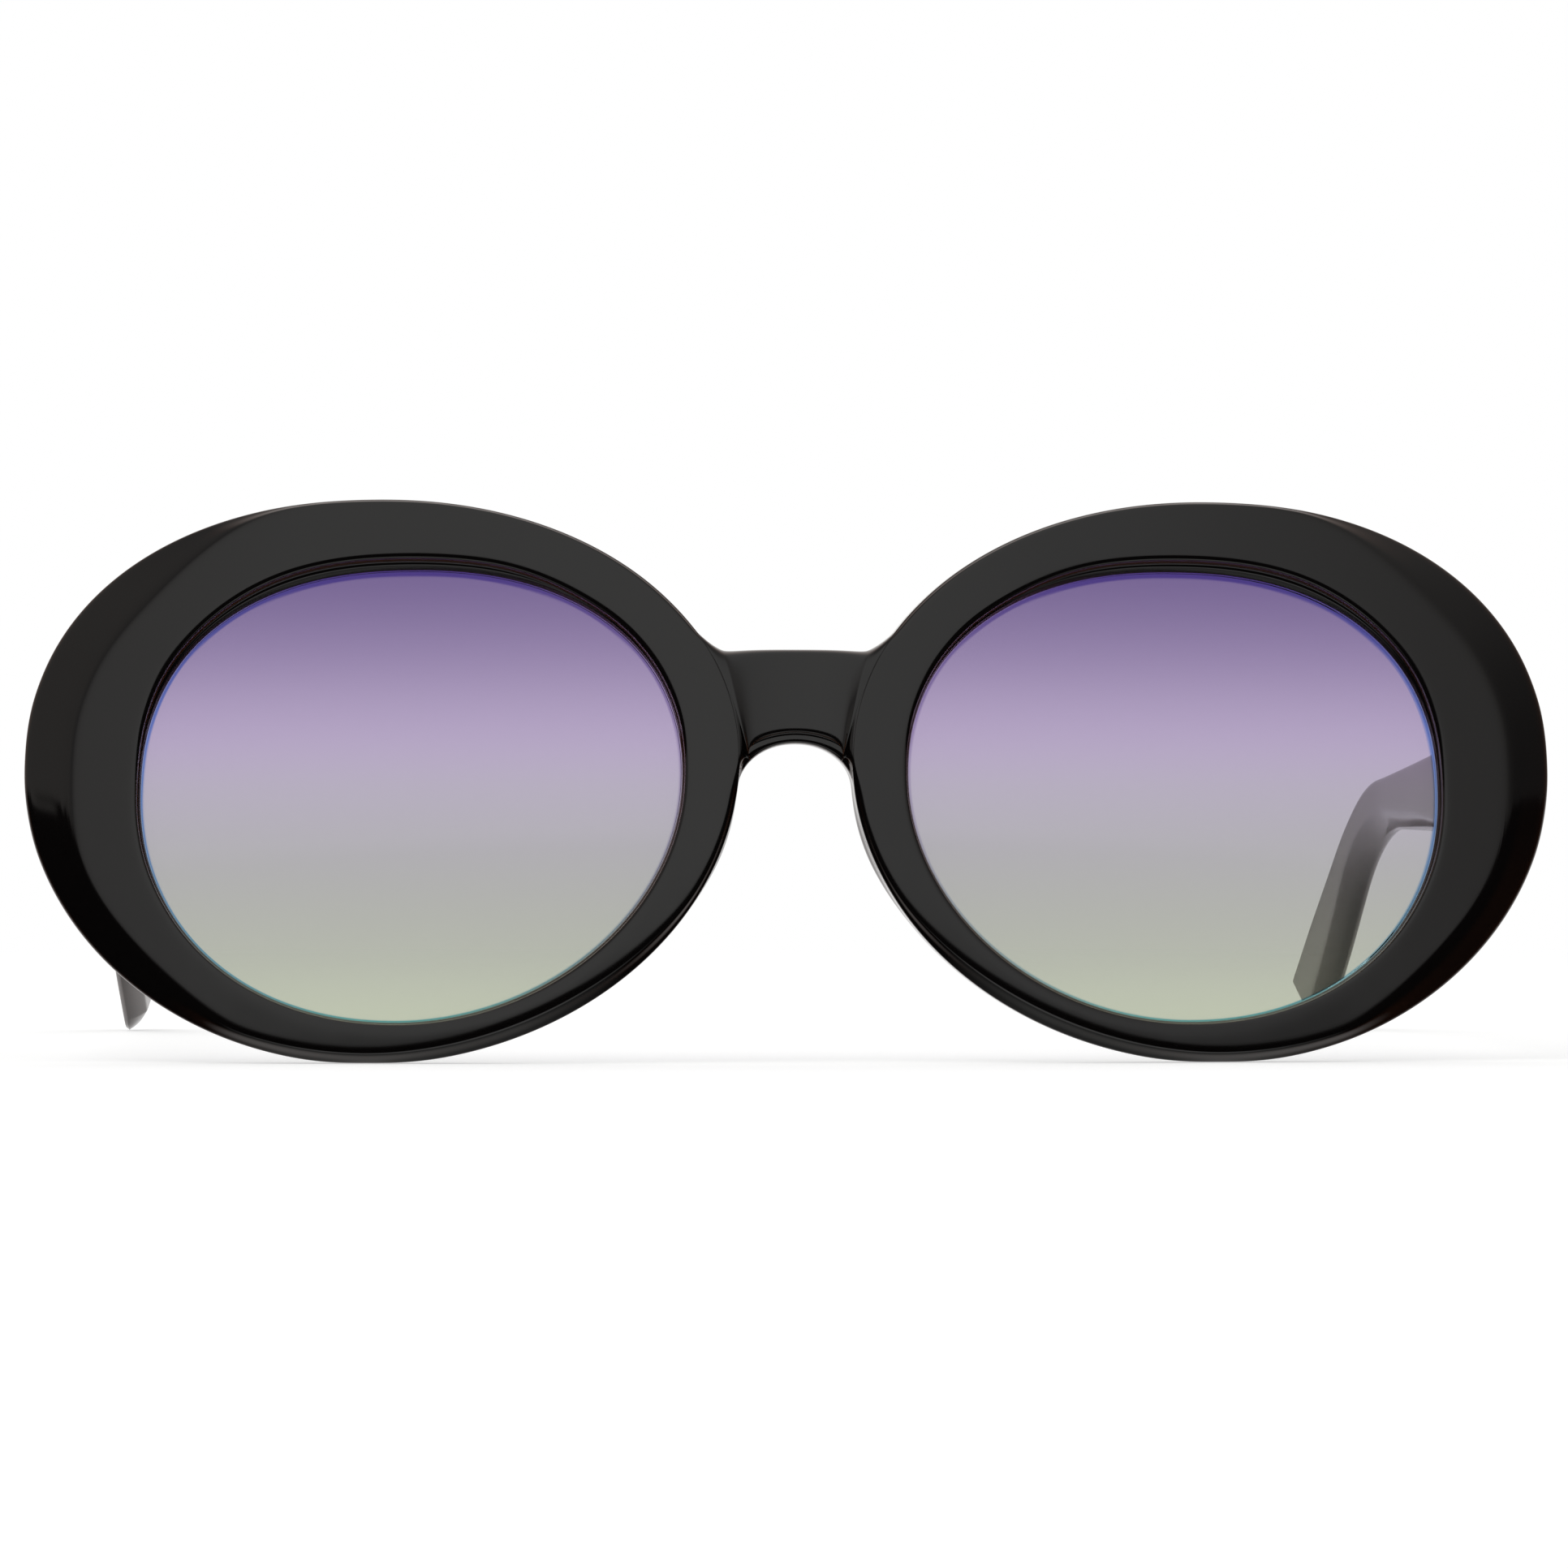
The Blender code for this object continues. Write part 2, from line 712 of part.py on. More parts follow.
def temple_section(at, left):
    """Inner side, outer side and half height of the temple at a distance behind its hinge."""
    to_waist = at / temple_waist_at
    to_tip = (at - temple_waist_at) / (temple_reach - temple_waist_at)
    if at < temple_waist_at:
        thickness = blend(temple_butt_thickness, temple_waist_thickness, to_waist)
        half_height = blend(temple_butt_half_height, temple_waist_half_height, to_waist)
    else:
        thickness = blend(temple_waist_thickness, temple_tip_thickness, to_tip)
        flare = smooth_step(at, temple_flare_start, temple_flare_end)
        half_height = blend(temple_waist_half_height, temple_tip_half_height, flare)
    hugging = max(at - temple_hug_start, 0) / (temple_reach - temple_hug_start)
    outer = temple_inner + temple_butt_thickness - temple_hug * hugging * hugging
    return outer - thickness, outer, half_height * left


def temple_ring(side, station):
    at, height, slope, left = station
    inner, outer, half = temple_section(at, left)
    edge = 2 * half * temple_edge_share
    flat = inner + temple_edge_depth * (1 - left)
    bevelled = inner + temple_edge_depth
    r = temple_outer_round * left
    section = [
        (flat, half - edge),
        (bevelled, half),
        (outer - r, half),
        (outer, half - r),
        (outer, r - half),
        (outer - r, -half),
        (bevelled, -half),
        (flat, edge - half),
    ]
    # The section stands square to the centre line, which slopes down towards the tip
    return [
        (side * x, at + up * math.sin(slope), height + up * math.cos(slope)) for x, up in section
    ]


def wire_points(side, first, last):
    """Points of the temple's centre line, halfway through its thickness, from one distance to another past the bend."""
    spots = [(first, 0)]
    spots += [(at, height) for at, height, _, left in temple_stations() if left == 1 and first < at < last]
    past_bend = last - temple_waist_at - bend_run
    spots.append((last, -bend_drop - past_bend * math.tan(bend_angle)))
    points = []
    for at, height in spots:
        inner, outer, _ = temple_section(at, 1)
        points.append((side * (inner + outer) / 2, at, height))
    return points


def wire_mesh(name, points, radius, pivot, finish=None):
    """A round wire through points, as a mesh with welded caps."""
    curve = bpy.data.curves.new(name, "CURVE")
    curve.dimensions = "3D"
    curve.bevel_depth = radius
    curve.bevel_resolution = 2
    curve.use_fill_caps = True
    spline = curve.splines.new("POLY")
    spline.points.add(len(points) - 1)
    for spot, point in zip(spline.points, points):
        spot.co = (*point, 1)
    guide = bpy.data.objects.new(f"{name}_guide", curve)
    bpy.context.scene.collection.objects.link(guide)
    bpy.context.view_layer.update()
    seen = guide.evaluated_get(bpy.context.evaluated_depsgraph_get())
    mesh = bpy.data.meshes.new_from_object(seen)
    bm = bmesh.new()
    bm.from_mesh(mesh)
    bmesh.ops.remove_doubles(bm, verts=bm.verts, dist=merge_distance)
    bpy.data.objects.remove(guide)
    return add_object(name, bm, pivot, finish)


def make_temple(label, side, pivot):
    """Temple with the leaf's seat, the tang's pocket and the wire's channel cut in."""
    name = f"temple_{label}"
    rings = [temple_ring(side, station) for station in temple_stations()]
    temple = loft(name, rings, False, pivot, black_plastic(f"temple_plastic_{label}"))

    inner, outer = leaf_plate_x()
    outline = leaf_outline(temple_start - cut_past, leaf_half_height + seat_gap)
    cut_from = inner - cut_past
    cut_to = outer + seat_gap
    seat = prism(f"{name}_leaf_seat", outline, cut_from, cut_to, sideways(side), pivot)
    boolean(temple, seat, "DIFFERENCE")

    low = (outer, temple_tang_start - seat_gap, -tang_half_height - seat_gap)
    high = (
        outer + temple_tang_depth + seat_gap,
        temple_tang_end + seat_gap,
        tang_half_height + seat_gap,
    )
    boolean(temple, block(f"{name}_tang_seat", *sided(side, low, high), pivot), "DIFFERENCE")

    channel = wire_mesh(
        f"{name}_channel",
        wire_points(side, temple_tang_end - seat_gap, core_end_at + seat_gap),
        core_radius + seat_gap,
        pivot,
    )
    boolean(temple, channel, "DIFFERENCE")
    return temple


def make_core(label, side, pivot):
    """Core wire, from the hinge's tang to the middle of the tip."""
    points = wire_points(side, temple_tang_end + seat_gap, core_end_at)
    return wire_mesh(f"temple_core_{label}", points, core_radius, pivot, steel(f"core_{label}"))


def build():
    root = add_empty("sunglasses_centre", (0, -part_depth / 2, 0))
    make_front(root)
    for label, side in (("left", -1), ("right", 1)):
        place = (side * hinge_x, hinge_y, hinge_height)
        front_pivot = add_empty(f"front_hinge_{label}", place, root, hinge_tilt)
        temple_pivot = add_empty(f"temple_hinge_{label}", place, root, hinge_tilt)
        make_lens(label, side, root)
        make_front_leaf(label, side, front_pivot)
        make_screw(label, front_pivot)
        make_temple_leaf(label, side, temple_pivot)
        make_temple(label, side, temple_pivot)
        make_core(label, side, temple_pivot)


build()
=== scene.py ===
# Sunglasses with a thick one-piece acetate front, gradient lenses and temples on five-barrel hinges.
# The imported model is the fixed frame. Lengths in the dictionaries are in millimetres, angles in degrees.

import json
import math

import bmesh
import bpy
from mathutils import Matrix, Vector


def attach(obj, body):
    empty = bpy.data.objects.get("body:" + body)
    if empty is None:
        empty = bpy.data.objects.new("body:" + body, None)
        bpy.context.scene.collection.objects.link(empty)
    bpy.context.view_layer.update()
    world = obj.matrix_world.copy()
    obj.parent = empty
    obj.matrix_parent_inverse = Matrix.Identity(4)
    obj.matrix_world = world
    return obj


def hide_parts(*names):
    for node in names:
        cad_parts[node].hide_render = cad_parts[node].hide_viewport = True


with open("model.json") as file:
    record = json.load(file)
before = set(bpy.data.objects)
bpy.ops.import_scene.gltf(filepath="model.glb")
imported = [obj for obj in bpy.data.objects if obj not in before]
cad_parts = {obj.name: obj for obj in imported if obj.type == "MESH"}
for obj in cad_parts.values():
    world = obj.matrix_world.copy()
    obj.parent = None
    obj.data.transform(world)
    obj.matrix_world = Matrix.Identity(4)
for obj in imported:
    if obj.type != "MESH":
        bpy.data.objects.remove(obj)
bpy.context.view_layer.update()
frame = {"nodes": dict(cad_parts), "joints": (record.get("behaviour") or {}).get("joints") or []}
mm = 0.001
mergeDistance = 0.002 * mm
formLevels = 2  # subdivisions of the acetate pieces
sharpFrom = math.radians(40)
sides = (("left", -1), ("right", 1))
print("frame loaded:", len(frame["nodes"]), "nodes")

hinges = {joint["name"]: Vector(joint["pos_m"]) for joint in frame["joints"]}
axes = {joint["name"]: Vector(joint["axis"]) for joint in frame["joints"]}
hingeTilt = math.atan2(axes["fold_right"].y, axes["fold_right"].z)
tilted = Matrix.Rotation(-hingeTilt, 4, "X")
hingeBehindFace = 13.644  # from the middle of the front face back to the hinge axes
faceY = hinges["fold_left"].y - hingeBehindFace * mm
facePlace = Matrix.Translation((0, faceY, 0))
hingePlaces = {name[5:]: Matrix.Translation(spot) @ tilted for name, spot in hinges.items()}


# sRGB hex to the linear colour that the shaders work in
def linear(code):
    channels = [int(code[k:k + 2], 16) / 255 for k in (1, 3, 5)]
    return (*[c / 12.92 if c <= 0.04045 else ((c + 0.055) / 1.055) ** 2.4 for c in channels], 1.0)


# A node with its settings (sockets by name or number, or the node's own properties) and its incoming links. A link
# comes from a socket, or from a node, which then stands for its first output
def addNode(tree, kind, settings=None, links=None):
    node = tree.nodes.new(kind)
    for name, value in (settings or {}).items():
        if isinstance(name, int) or name in node.inputs:
            node.inputs[name].default_value = value
        else:
            setattr(node, name, value)
    for name, source in (links or {}).items():
        tree.links.new(source.outputs[0] if isinstance(source, bpy.types.Node) else source, node.inputs[name])
    return node


# Settings that make a Map Range node read from one value to another
def between(low, high):
    return {"From Min": low, "From Max": high}


def emptyMaterial(name):
    made = bpy.data.materials.new(name)
    made.use_nodes = True
    made.node_tree.nodes.clear()
    return made, made.node_tree


# Colours that run through a table of values and hex codes
def rampOver(tree, value, stops, interpolation="LINEAR"):
    low, high = stops[0][0], stops[-1][0]
    share = addNode(tree, "ShaderNodeMapRange", between(low, high), {"Value": value})
    ramp = addNode(tree, "ShaderNodeValToRGB", None, {"Fac": share})
    ramp.color_ramp.interpolation = interpolation
    marks = ramp.color_ramp.elements
    marks[0].color, marks[-1].color = linear(stops[0][1]), linear(stops[-1][1])
    for at, code in stops[1:-1]:
        marks.new((at - low) / (high - low)).color = linear(code)
    return ramp.outputs["Color"]


def smoothStep(value, low, high):
    share = min(max((value - low) / (high - low), 0), 1)
    return share * share * (3 - 2 * share)


def mix(one, other, share):
    return one + (other - one) * share


def addObject(name, data):
    made = bpy.data.objects.new(name, data)
    bpy.context.scene.collection.objects.link(made)
    return made


# A mesh object from a bmesh, which is freed
def addFromBmesh(name, bm, finish=None):
    mesh = bpy.data.meshes.new(name)
    bm.to_mesh(mesh)
    bm.free()
    if finish:
        mesh.materials.append(finish)
    return addObject(name, mesh)


# A mesh object from points in millimetres, measured from the middle of the front face at floor level or from a hinge
def addPiece(name, points, faces, finish, place=facePlace):
    mesh = bpy.data.meshes.new(name)
    mesh.from_pydata([place @ (Vector(point) * mm) for point in points], [], faces)
    bm = bmesh.new()
    bm.from_mesh(mesh)
    bmesh.ops.remove_doubles(bm, verts=bm.verts, dist=mergeDistance)
    bmesh.ops.recalc_face_normals(bm, faces=bm.faces)
    bm.to_mesh(mesh)
    bm.free()
    mesh.materials.append(finish)
    mesh.shade_smooth()
    return addObject(name, mesh)


# The faces between rings of the same number of points that follow one another
def facesBetween(rings, count):
    faces = []
    for start in range(0, (rings - 1) * count, count):
        for k in range(count):
            following = (k + 1) % count
            faces.append((start + k, start + following, start + count + following, start + count + k))
    return faces


def subdivide(piece):
    change = piece.modifiers.new("roundedForm", "SUBSURF")
    change.levels = change.render_levels = formLevels


# Applies the piece's modifiers and leaves a plain mesh
def flattened(piece):
    bpy.context.view_layer.update()
    mesh = bpy.data.meshes.new_from_object(piece.evaluated_get(bpy.context.evaluated_depsgraph_get()))
    piece.modifiers.clear()
    piece.data = mesh
    return mesh


# Materials

# The brown edge colour, and where it starts, is a painted sheen laid on where a face is seen edge-on
acetate = {
    "black": "#0A0808", "paintedEdgeSheen": "#4E2A14", "paintedSheenFrom": 0.3, "ior": 1.49,
    "roughness": 0.06, "smear": 0.04, "smearSize": 14.0, "smearRange": (0.35, 0.7),
    "waveSize": 9.0, "waveHeight": 0.006,
}


# Cellulose acetate, milled and then tumbled with polishing paste: black, wet-looking and very slightly wavy. Its
# colour turns brown where its faces are seen edge-on, which is a painted sheen at the grazing edges
def polishedAcetate(name):
    made, tree = emptyMaterial(name)
    here = addNode(tree, "ShaderNodeTexCoord").outputs["Object"]
    # Painted sheen: the base colour runs from black to brown towards grazing view angles
    grazing = addNode(tree, "ShaderNodeLayerWeight", {"Blend": 0.5})
    edge = addNode(
        tree, "ShaderNodeMapRange", between(acetate["paintedSheenFrom"], 1.0), {"Value": grazing.outputs["Facing"]}
    )
    colour = addNode(
        tree, "ShaderNodeMix", {"data_type": "RGBA", 6: linear(acetate["black"]), 7: linear(acetate["paintedEdgeSheen"])},
        {0: edge},
    )
    handled = addNode(
        tree, "ShaderNodeTexNoise", {"Scale": 1 / (acetate["smearSize"] * mm), "Detail": 4.0, "Roughness": 0.6},
        {"Vector": here},
    )
    rough = addNode(
        tree, "ShaderNodeMapRange",
        {**between(*acetate["smearRange"]), "To Min": acetate["roughness"],
         "To Max": acetate["roughness"] + acetate["smear"]},
        {"Value": handled},
    )
    wave = addNode(
        tree, "ShaderNodeTexNoise", {"Scale": 1 / (acetate["waveSize"] * mm), "Detail": 1.0}, {"Vector": here}
    )
    bump = addNode(
        tree, "ShaderNodeBump", {"Strength": 1.0, "Distance": acetate["waveHeight"] * mm}, {"Height": wave}
    )
    shader = addNode(
        tree, "ShaderNodeBsdfPrincipled", {"IOR": acetate["ior"]},
        {"Base Color": colour.outputs[2], "Roughness": rough, "Normal": bump},
    )
    addNode(tree, "ShaderNodeOutputMaterial", None, {"Surface": shader})
    return made


lensTint = {
    "stops": [
        (3.5, "#C2C8B3"), (8.5, "#BCC0B2"), (15.0, "#B6B7B2"), (21.0, "#B5B3B8"), (27.0, "#BAB2C4"),
        (31.0, "#B9AAC9"), (35.0, "#AD9DBF"), (39.0, "#9988AF"), (43.0, "#8877A1"), (47.5, "#756393"),
    ],
    "ior": 1.22, "roughness": 0.0, "clear": 0.955,
    # The edge widths and colours are a painted reflection of the lens edge, at its temporal side, top, nasal side and
    # bottom
    "paintedEdgeWidths": (0.2, 0.55, 0.2, 0.17), "paintedEdgeReflections": ("#86B4F0", "#A394E0", "#C9C2D8", "#66BACE"),
}


# Solvent-dyed plastic lens: dipped so that the dye is deep at the top and fades down. Its coating takes most of the
# mirror off it, for which its IOR is set low, and a faint haze lifts the black behind it
def gradientLens(name):
    made, tree = emptyMaterial(name)
    here = addNode(tree, "ShaderNodeTexCoord").outputs["Object"]
    height = addNode(tree, "ShaderNodeSeparateXYZ", None, {"Vector": here})
    stops = [(at * mm, code) for at, code in lensTint["stops"]]
    dye = rampOver(tree, height.outputs["Z"], stops, "B_SPLINE")
    # Painted reflection of the lens edge, read from a point colour and multiplied into the dye
    edge = addNode(tree, "ShaderNodeAttribute", {"attribute_name": "paintedEdgeReflection"})
    dyeAndEdgeReflection = addNode(
        tree, "ShaderNodeMix", {"data_type": "RGBA", "blend_type": "MULTIPLY", 0: 1.0}, {6: dye, 7: edge}
    )
    shader = addNode(
        tree, "ShaderNodeBsdfPrincipled",
        {"Transmission Weight": lensTint["clear"], "IOR": lensTint["ior"], "Roughness": lensTint["roughness"]},
        {"Base Color": dyeAndEdgeReflection.outputs[2]},
    )
    addNode(tree, "ShaderNodeOutputMaterial", None, {"Surface": shader})
    return made


metals = {
    "nickelSilver": {"light": "#C6C1B6", "dark": "#A8A297", "roughness": 0.26, "grain": 0.18, "grainHeight": 0.004},
    "screwSteel": {"light": "#B9B9BB", "dark": "#8F8F92", "roughness": 0.22, "grain": 0.12, "grainHeight": 0.003},
    "springWire": {"light": "#A7A7A9", "dark": "#7D7D80", "roughness": 0.35, "grain": 0.12, "grainHeight": 0.003},
}
tarnishLook = {"size": 1.6, "smoother": 0.06, "rougher": 0.1, "grainStrength": 0.6}


# Bare metal small parts: stamped nickel silver, turned steel or drawn wire, with a fine tumbled grain that takes
# the mirror off them. The grain is drawn coarser than the real 0.02 mm so that it shows
def bareMetal(name):
    metal = metals[name]
    made, tree = emptyMaterial(name)
    here = addNode(tree, "ShaderNodeTexCoord").outputs["Object"]
    grain = addNode(tree, "ShaderNodeTexNoise", {"Scale": 1 / (metal["grain"] * mm), "Detail": 3.0}, {"Vector": here})
    tarnish = addNode(
        tree, "ShaderNodeTexNoise", {"Scale": 1 / (tarnishLook["size"] * mm), "Detail": 3.0}, {"Vector": here}
    )
    colour = addNode(
        tree, "ShaderNodeMix", {"data_type": "RGBA", 6: linear(metal["light"]), 7: linear(metal["dark"])},
        {0: tarnish},
    )
    rough = addNode(
        tree, "ShaderNodeMapRange",
        {"To Min": metal["roughness"] - tarnishLook["smoother"],
         "To Max": metal["roughness"] + tarnishLook["rougher"]},
        {"Value": tarnish},
    )
    bump = addNode(
        tree, "ShaderNodeBump", {"Strength": tarnishLook["grainStrength"], "Distance": metal["grainHeight"] * mm},
        {"Height": grain},
    )
    shader = addNode(
        tree, "ShaderNodeBsdfPrincipled", {"Metallic": 1.0},
        {"Base Color": colour.outputs[2], "Roughness": rough, "Normal": bump},
    )
    addNode(tree, "ShaderNodeOutputMaterial", None, {"Surface": shader})
    return made


frontAcetate = polishedAcetate("polishedBlackAcetateFront")
templeAcetate = polishedAcetate("polishedBlackAcetateTemple")
dyedLens = gradientLens("gradientDyedLens")
nickelSilver = bareMetal("nickelSilver")
screwSteel = bareMetal("screwSteel")
springWire = bareMetal("springWire")
print("materials made")


# Front: both rims, bridge, nose pads and end pieces, in one

front = {
    "lens": {"centre": (37.5, 26.8), "halves": (25.8, 20.8, 26.5, 22.9), "roundness": (2.33, 2.20, 1.97, 2.11),
             "slant": -0.05},
    "rim": {"centre": (40.6, 28.6), "halves": (34.2, 25.9, 35.15, 28.8), "roundness": (2.24, 2.06, 1.98, 1.98),
            "slant": -0.027},
    "bendRadius": 400.0, "thickness": 4.6,
    "reveals": ((0, 0.35), (35, 0.8), (72, 1.4), (102, 1.2), (130, 0.6), (158, 0.35), (185, 0.25), (320, 0.2),
                (360, 0.35)),
    "bevelTemporal": 4.6, "bevelLowTemporal": 3.7, "bevelBottom": 1.3, "bevelLeast": 0.3, "bevelDrop": 2.3,
    "bevelPower": 0.6, "bevelFade": (0.2, 0.85), "bevelLowFade": (0.0, 0.5),
    "noseEdgeWidth": 0.6, "noseEdgeDrop": 0.45, "noseEdgeFrom": (12.0, 19.0), "noseEdgeTo": (29.0, 31.0),
    "lensDepth": 2.6, "grooveDepth": 0.85,
    "padHeight": 20.6, "padHalfLength": 8.2, "padDepth": 4.8, "padWidth": 1.9, "padFlare": 1.6, "padProud": 0.5,
    "padShoulder": 0.85, "padRound": 0.7, "outsideEnd": 0.7, "backRound": 0.95,
    "endHeight": 27.25, "endHalfHeight": 6.3, "endBack": 11.594, "endFrom": 60.0, "endFade": (0.3, 0.9),
    "bridgeTop": 40.0, "bridgeReach": 9.6, "filletReach": 2.9, "filletRise": 1.9, "filletPower": 1.35,
    "ridgeAt": 0.25, "ridgeLowX": 4.95, "hollowPower": 2.4, "joinFrom": (149.5, 153.5), "joinTo": (179.0, 185.0),
    "rowsFade": (0.0, 0.3), "rimFade": (0.0, 0.75), "sinkFade": (0.02, 0.3),
    "archCentre": 25.8, "archHalfWidth": 5.35, "archRise": 5.1, "archPower": 2.2,
}
archTop = front["archCentre"] + front["archRise"]

# The angles round the rim at which its section is drawn, closer at the end piece and where the bridge joins
rimTurns = [0, 4, 7, 9, 10.5, 12, 15, *range(20, 150, 5), 148.5]
bridgeTurns = [150.5, 152.5, 155, 158, 161.5, 165, 168.5, 172, 175.5, 179, 182.2, 185.3]
rimTurns += [*bridgeTurns, 188.5, 192, 196, 200, *range(205, 340, 5), 339, 342, 343.5, 345.5, 348, 352, 356]

# The bridge at the middle plane: height and depth down its face and over the lip, depth and height back along its
# foot, height down its back, and depth and height forward along its top
bridgeFace = [(39.8, 0.85), (39.3, 0.66), (38.2, 0.62), (35.4, 0.6), (32.7, 0.61), (32.25, 0.615), (32.15, 0.64),
              (32.08, 0.77), (31.98, 0.87), (31.8, 0.89), (31.25, 0.87), (31.03, 0.93)]
lipRow = 6  # the first row of bridgeFace that belongs to the lip
bridgeFoot = [(1.6, 30.9), (2.5, 30.9), (3.5, 30.9), (4.15, 30.94), (4.45, 31.05)]
bridgeBack = [39.25, 38.4, 37.5, 36.5, 35.5, 34.5, 33.6, 32.8, 32.3, 31.9, 31.6, 31.35]
bridgeTopRows = [(4.45, 39.85), (4.15, 39.96), (3.5, 40.0), (2.4, 40.0), (1.5, 40.0)]
bridgeShares = [0.05, 0.11, 0.17, 0.225, 0.25, 0.28, 0.34, 0.44, 0.6, 0.8, 1.0]


# A point of an outline of four quarter superellipses, leaned sideways by its slant
def outlinePoint(outline, turn):
    across, up = math.cos(turn), math.sin(turn)
    temporal, top, nasal, bottom = outline["halves"]
    power = 2 / outline["roundness"][int(turn / (math.pi / 2)) % 4]
    x = (temporal if across > 0 else nasal) * math.copysign(abs(across) ** power, across)
    z = (top if up > 0 else bottom) * math.copysign(abs(up) ** power, up)
    return Vector((outline["centre"][0] + x + outline["slant"] * z, outline["centre"][1] + z))


def bendAt(x):
    return x * x / (2 * front["bendRadius"])


# A value that runs smoothly through a table of places and values
def fromTable(table, at):
    for (low, one), (high, other) in zip(table, table[1:]):
        if at <= high:
            return mix(one, other, smoothStep(at, low, high))
    return table[-1][1]


# Width and drop of the bevel outside the face, and how much of it is the wide temple side
def bevelAt(turn, height):
    side = smoothStep(math.cos(turn), *front["bevelFade"])
    below = smoothStep(-math.sin(turn), *front["bevelFade"])
    least = front["bevelLeast"]
    lower = smoothStep(-math.sin(turn), *front["bevelLowFade"])
    wide = mix(front["bevelTemporal"], front["bevelLowTemporal"], lower)
    width = least + max((wide - least) * side, (front["bevelBottom"] - least) * below)
    drop = front["bevelDrop"] * (width / front["bevelTemporal"]) ** front["bevelPower"]
    nose = 0
    if math.cos(turn) < 0:
        nose = smoothStep(height, *front["noseEdgeFrom"]) * (1 - smoothStep(height, *front["noseEdgeTo"]))
    return mix(width, front["noseEdgeWidth"], nose), mix(drop, front["noseEdgeDrop"], nose), side


# How much of the nose pad's depth the section has at a height
def padLift(height, turn):
    along = (height - front["padHeight"]) / front["padHalfLength"]
    return 0 if math.cos(turn) > 0 or abs(along) > 1 else (1 - along * along) ** 2


# Section of the rim as distance out from the lens opening and depth behind the face
def rimSection(turn):
    inner = outlinePoint(front["lens"], turn)
    outer = outlinePoint(front["rim"], turn)
    out = (outer - inner).normalized()
    wide = (outer - inner).length
    degrees = math.degrees(turn)
    reveal = fromTable(front["reveals"], degrees)
    width, drop, side = bevelAt(turn, outer.y)
    lift = padLift(outer.y, turn)
    thick = front["thickness"]
    groove, backIn = front["grooveDepth"], front["backRound"]
    padEdge = wide - front["padFlare"] * lift
    padBack = thick + front["padDepth"] * lift
    padOut = wide + front["padProud"] * lift
    shoulder = thick + front["padDepth"] * front["padShoulder"] * lift
    padIn = padEdge - front["padRound"] - front["padWidth"]
    outsideEnd = thick - front["outsideEnd"]
    joined = smoothStep(degrees, *front["joinFrom"]) * (1 - smoothStep(degrees, *front["joinTo"]))
    width, drop = width * (1 - 0.7 * joined), drop * (1 - joined)
    edge = wide - min(0.3, 0.4 * width)
    brow = wide - width
    wall = (drop + 0.2 + 0.25 * side) * (1 - joined) + 0.03 * joined
    rows = [
        # the groove that holds the lens, and round to the back
        (0, 1.65), (groove, 2.4), (groove, 2.8), (0, 3.55), (0, 3.85), (0.06, 4.35), (0.35, thick - 0.03),
        (backIn, thick),
        # the back and the nose pad
        (mix(backIn, padIn, 0.14), mix(thick, shoulder, 0.1)), (mix(backIn, padIn, 0.58), mix(thick, shoulder, 0.5)),
        (padIn, shoulder), (padEdge - front["padRound"], padBack), (padEdge - 0.12, padBack - 0.16),
        (mix(padEdge, padOut, 0.5), mix(padBack, outsideEnd, 0.5)), (padOut, outsideEnd),
        # the outside
        (wide, mix(wall, outsideEnd, 0.72)), (wide, mix(wall, outsideEnd, 0.25)), (wide, wall),
        # the bevel
        (mix(edge, wide, 0.65), mix(drop + 0.08, 0.04, joined)),
        (mix(brow, edge, 0.87), mix(drop * 0.85, 0.02, joined)),
        (mix(brow, edge, 0.5), mix(drop * 0.48, 0.01, joined)), (mix(brow, edge, 0.1), drop * 0.07),
        # the face
        (brow - 0.25, 0), (brow - 1.0, 0), (reveal + 0.8, 0), (reveal + 0.25, 0.02),
        # the wall of the opening with its small ledge
        (reveal + 0.04, 0.14), (reveal * 0.95, 0.45), (reveal * 0.82, 0.85), (reveal * 0.74, 0.92),
        (reveal * 0.50, 0.98), (reveal * 0.42, 1.06), (reveal * 0.05, 1.5),
    ]
    low, top = [front["endHeight"] + front["endHalfHeight"] * way for way in (-1, 1)]
    before, after = front["endFade"]
    points = []
    for row, (away, depth) in enumerate(rows):
        x, z = inner + out * away
        if 8 <= row <= 12 and x > front["endFrom"]:  # the end piece's flat back, which the hinge is set into
            flat = smoothStep(z, low - before, low + after) * (1 - smoothStep(z, top - after, top + before))
            depth = mix(depth, front["endBack"] - bendAt(x) + depth - thick, flat)
        points.append((x, bendAt(x) + depth, max(z, 0)))
    return points


# Height of the bridge's top edge, which curls up into the rim
def bridgeTopAt(x):
    start = front["bridgeReach"] - front["filletReach"]
    past = max(x - start, 0) / front["filletReach"]
    return front["bridgeTop"] + front["filletRise"] * past ** front["filletPower"]


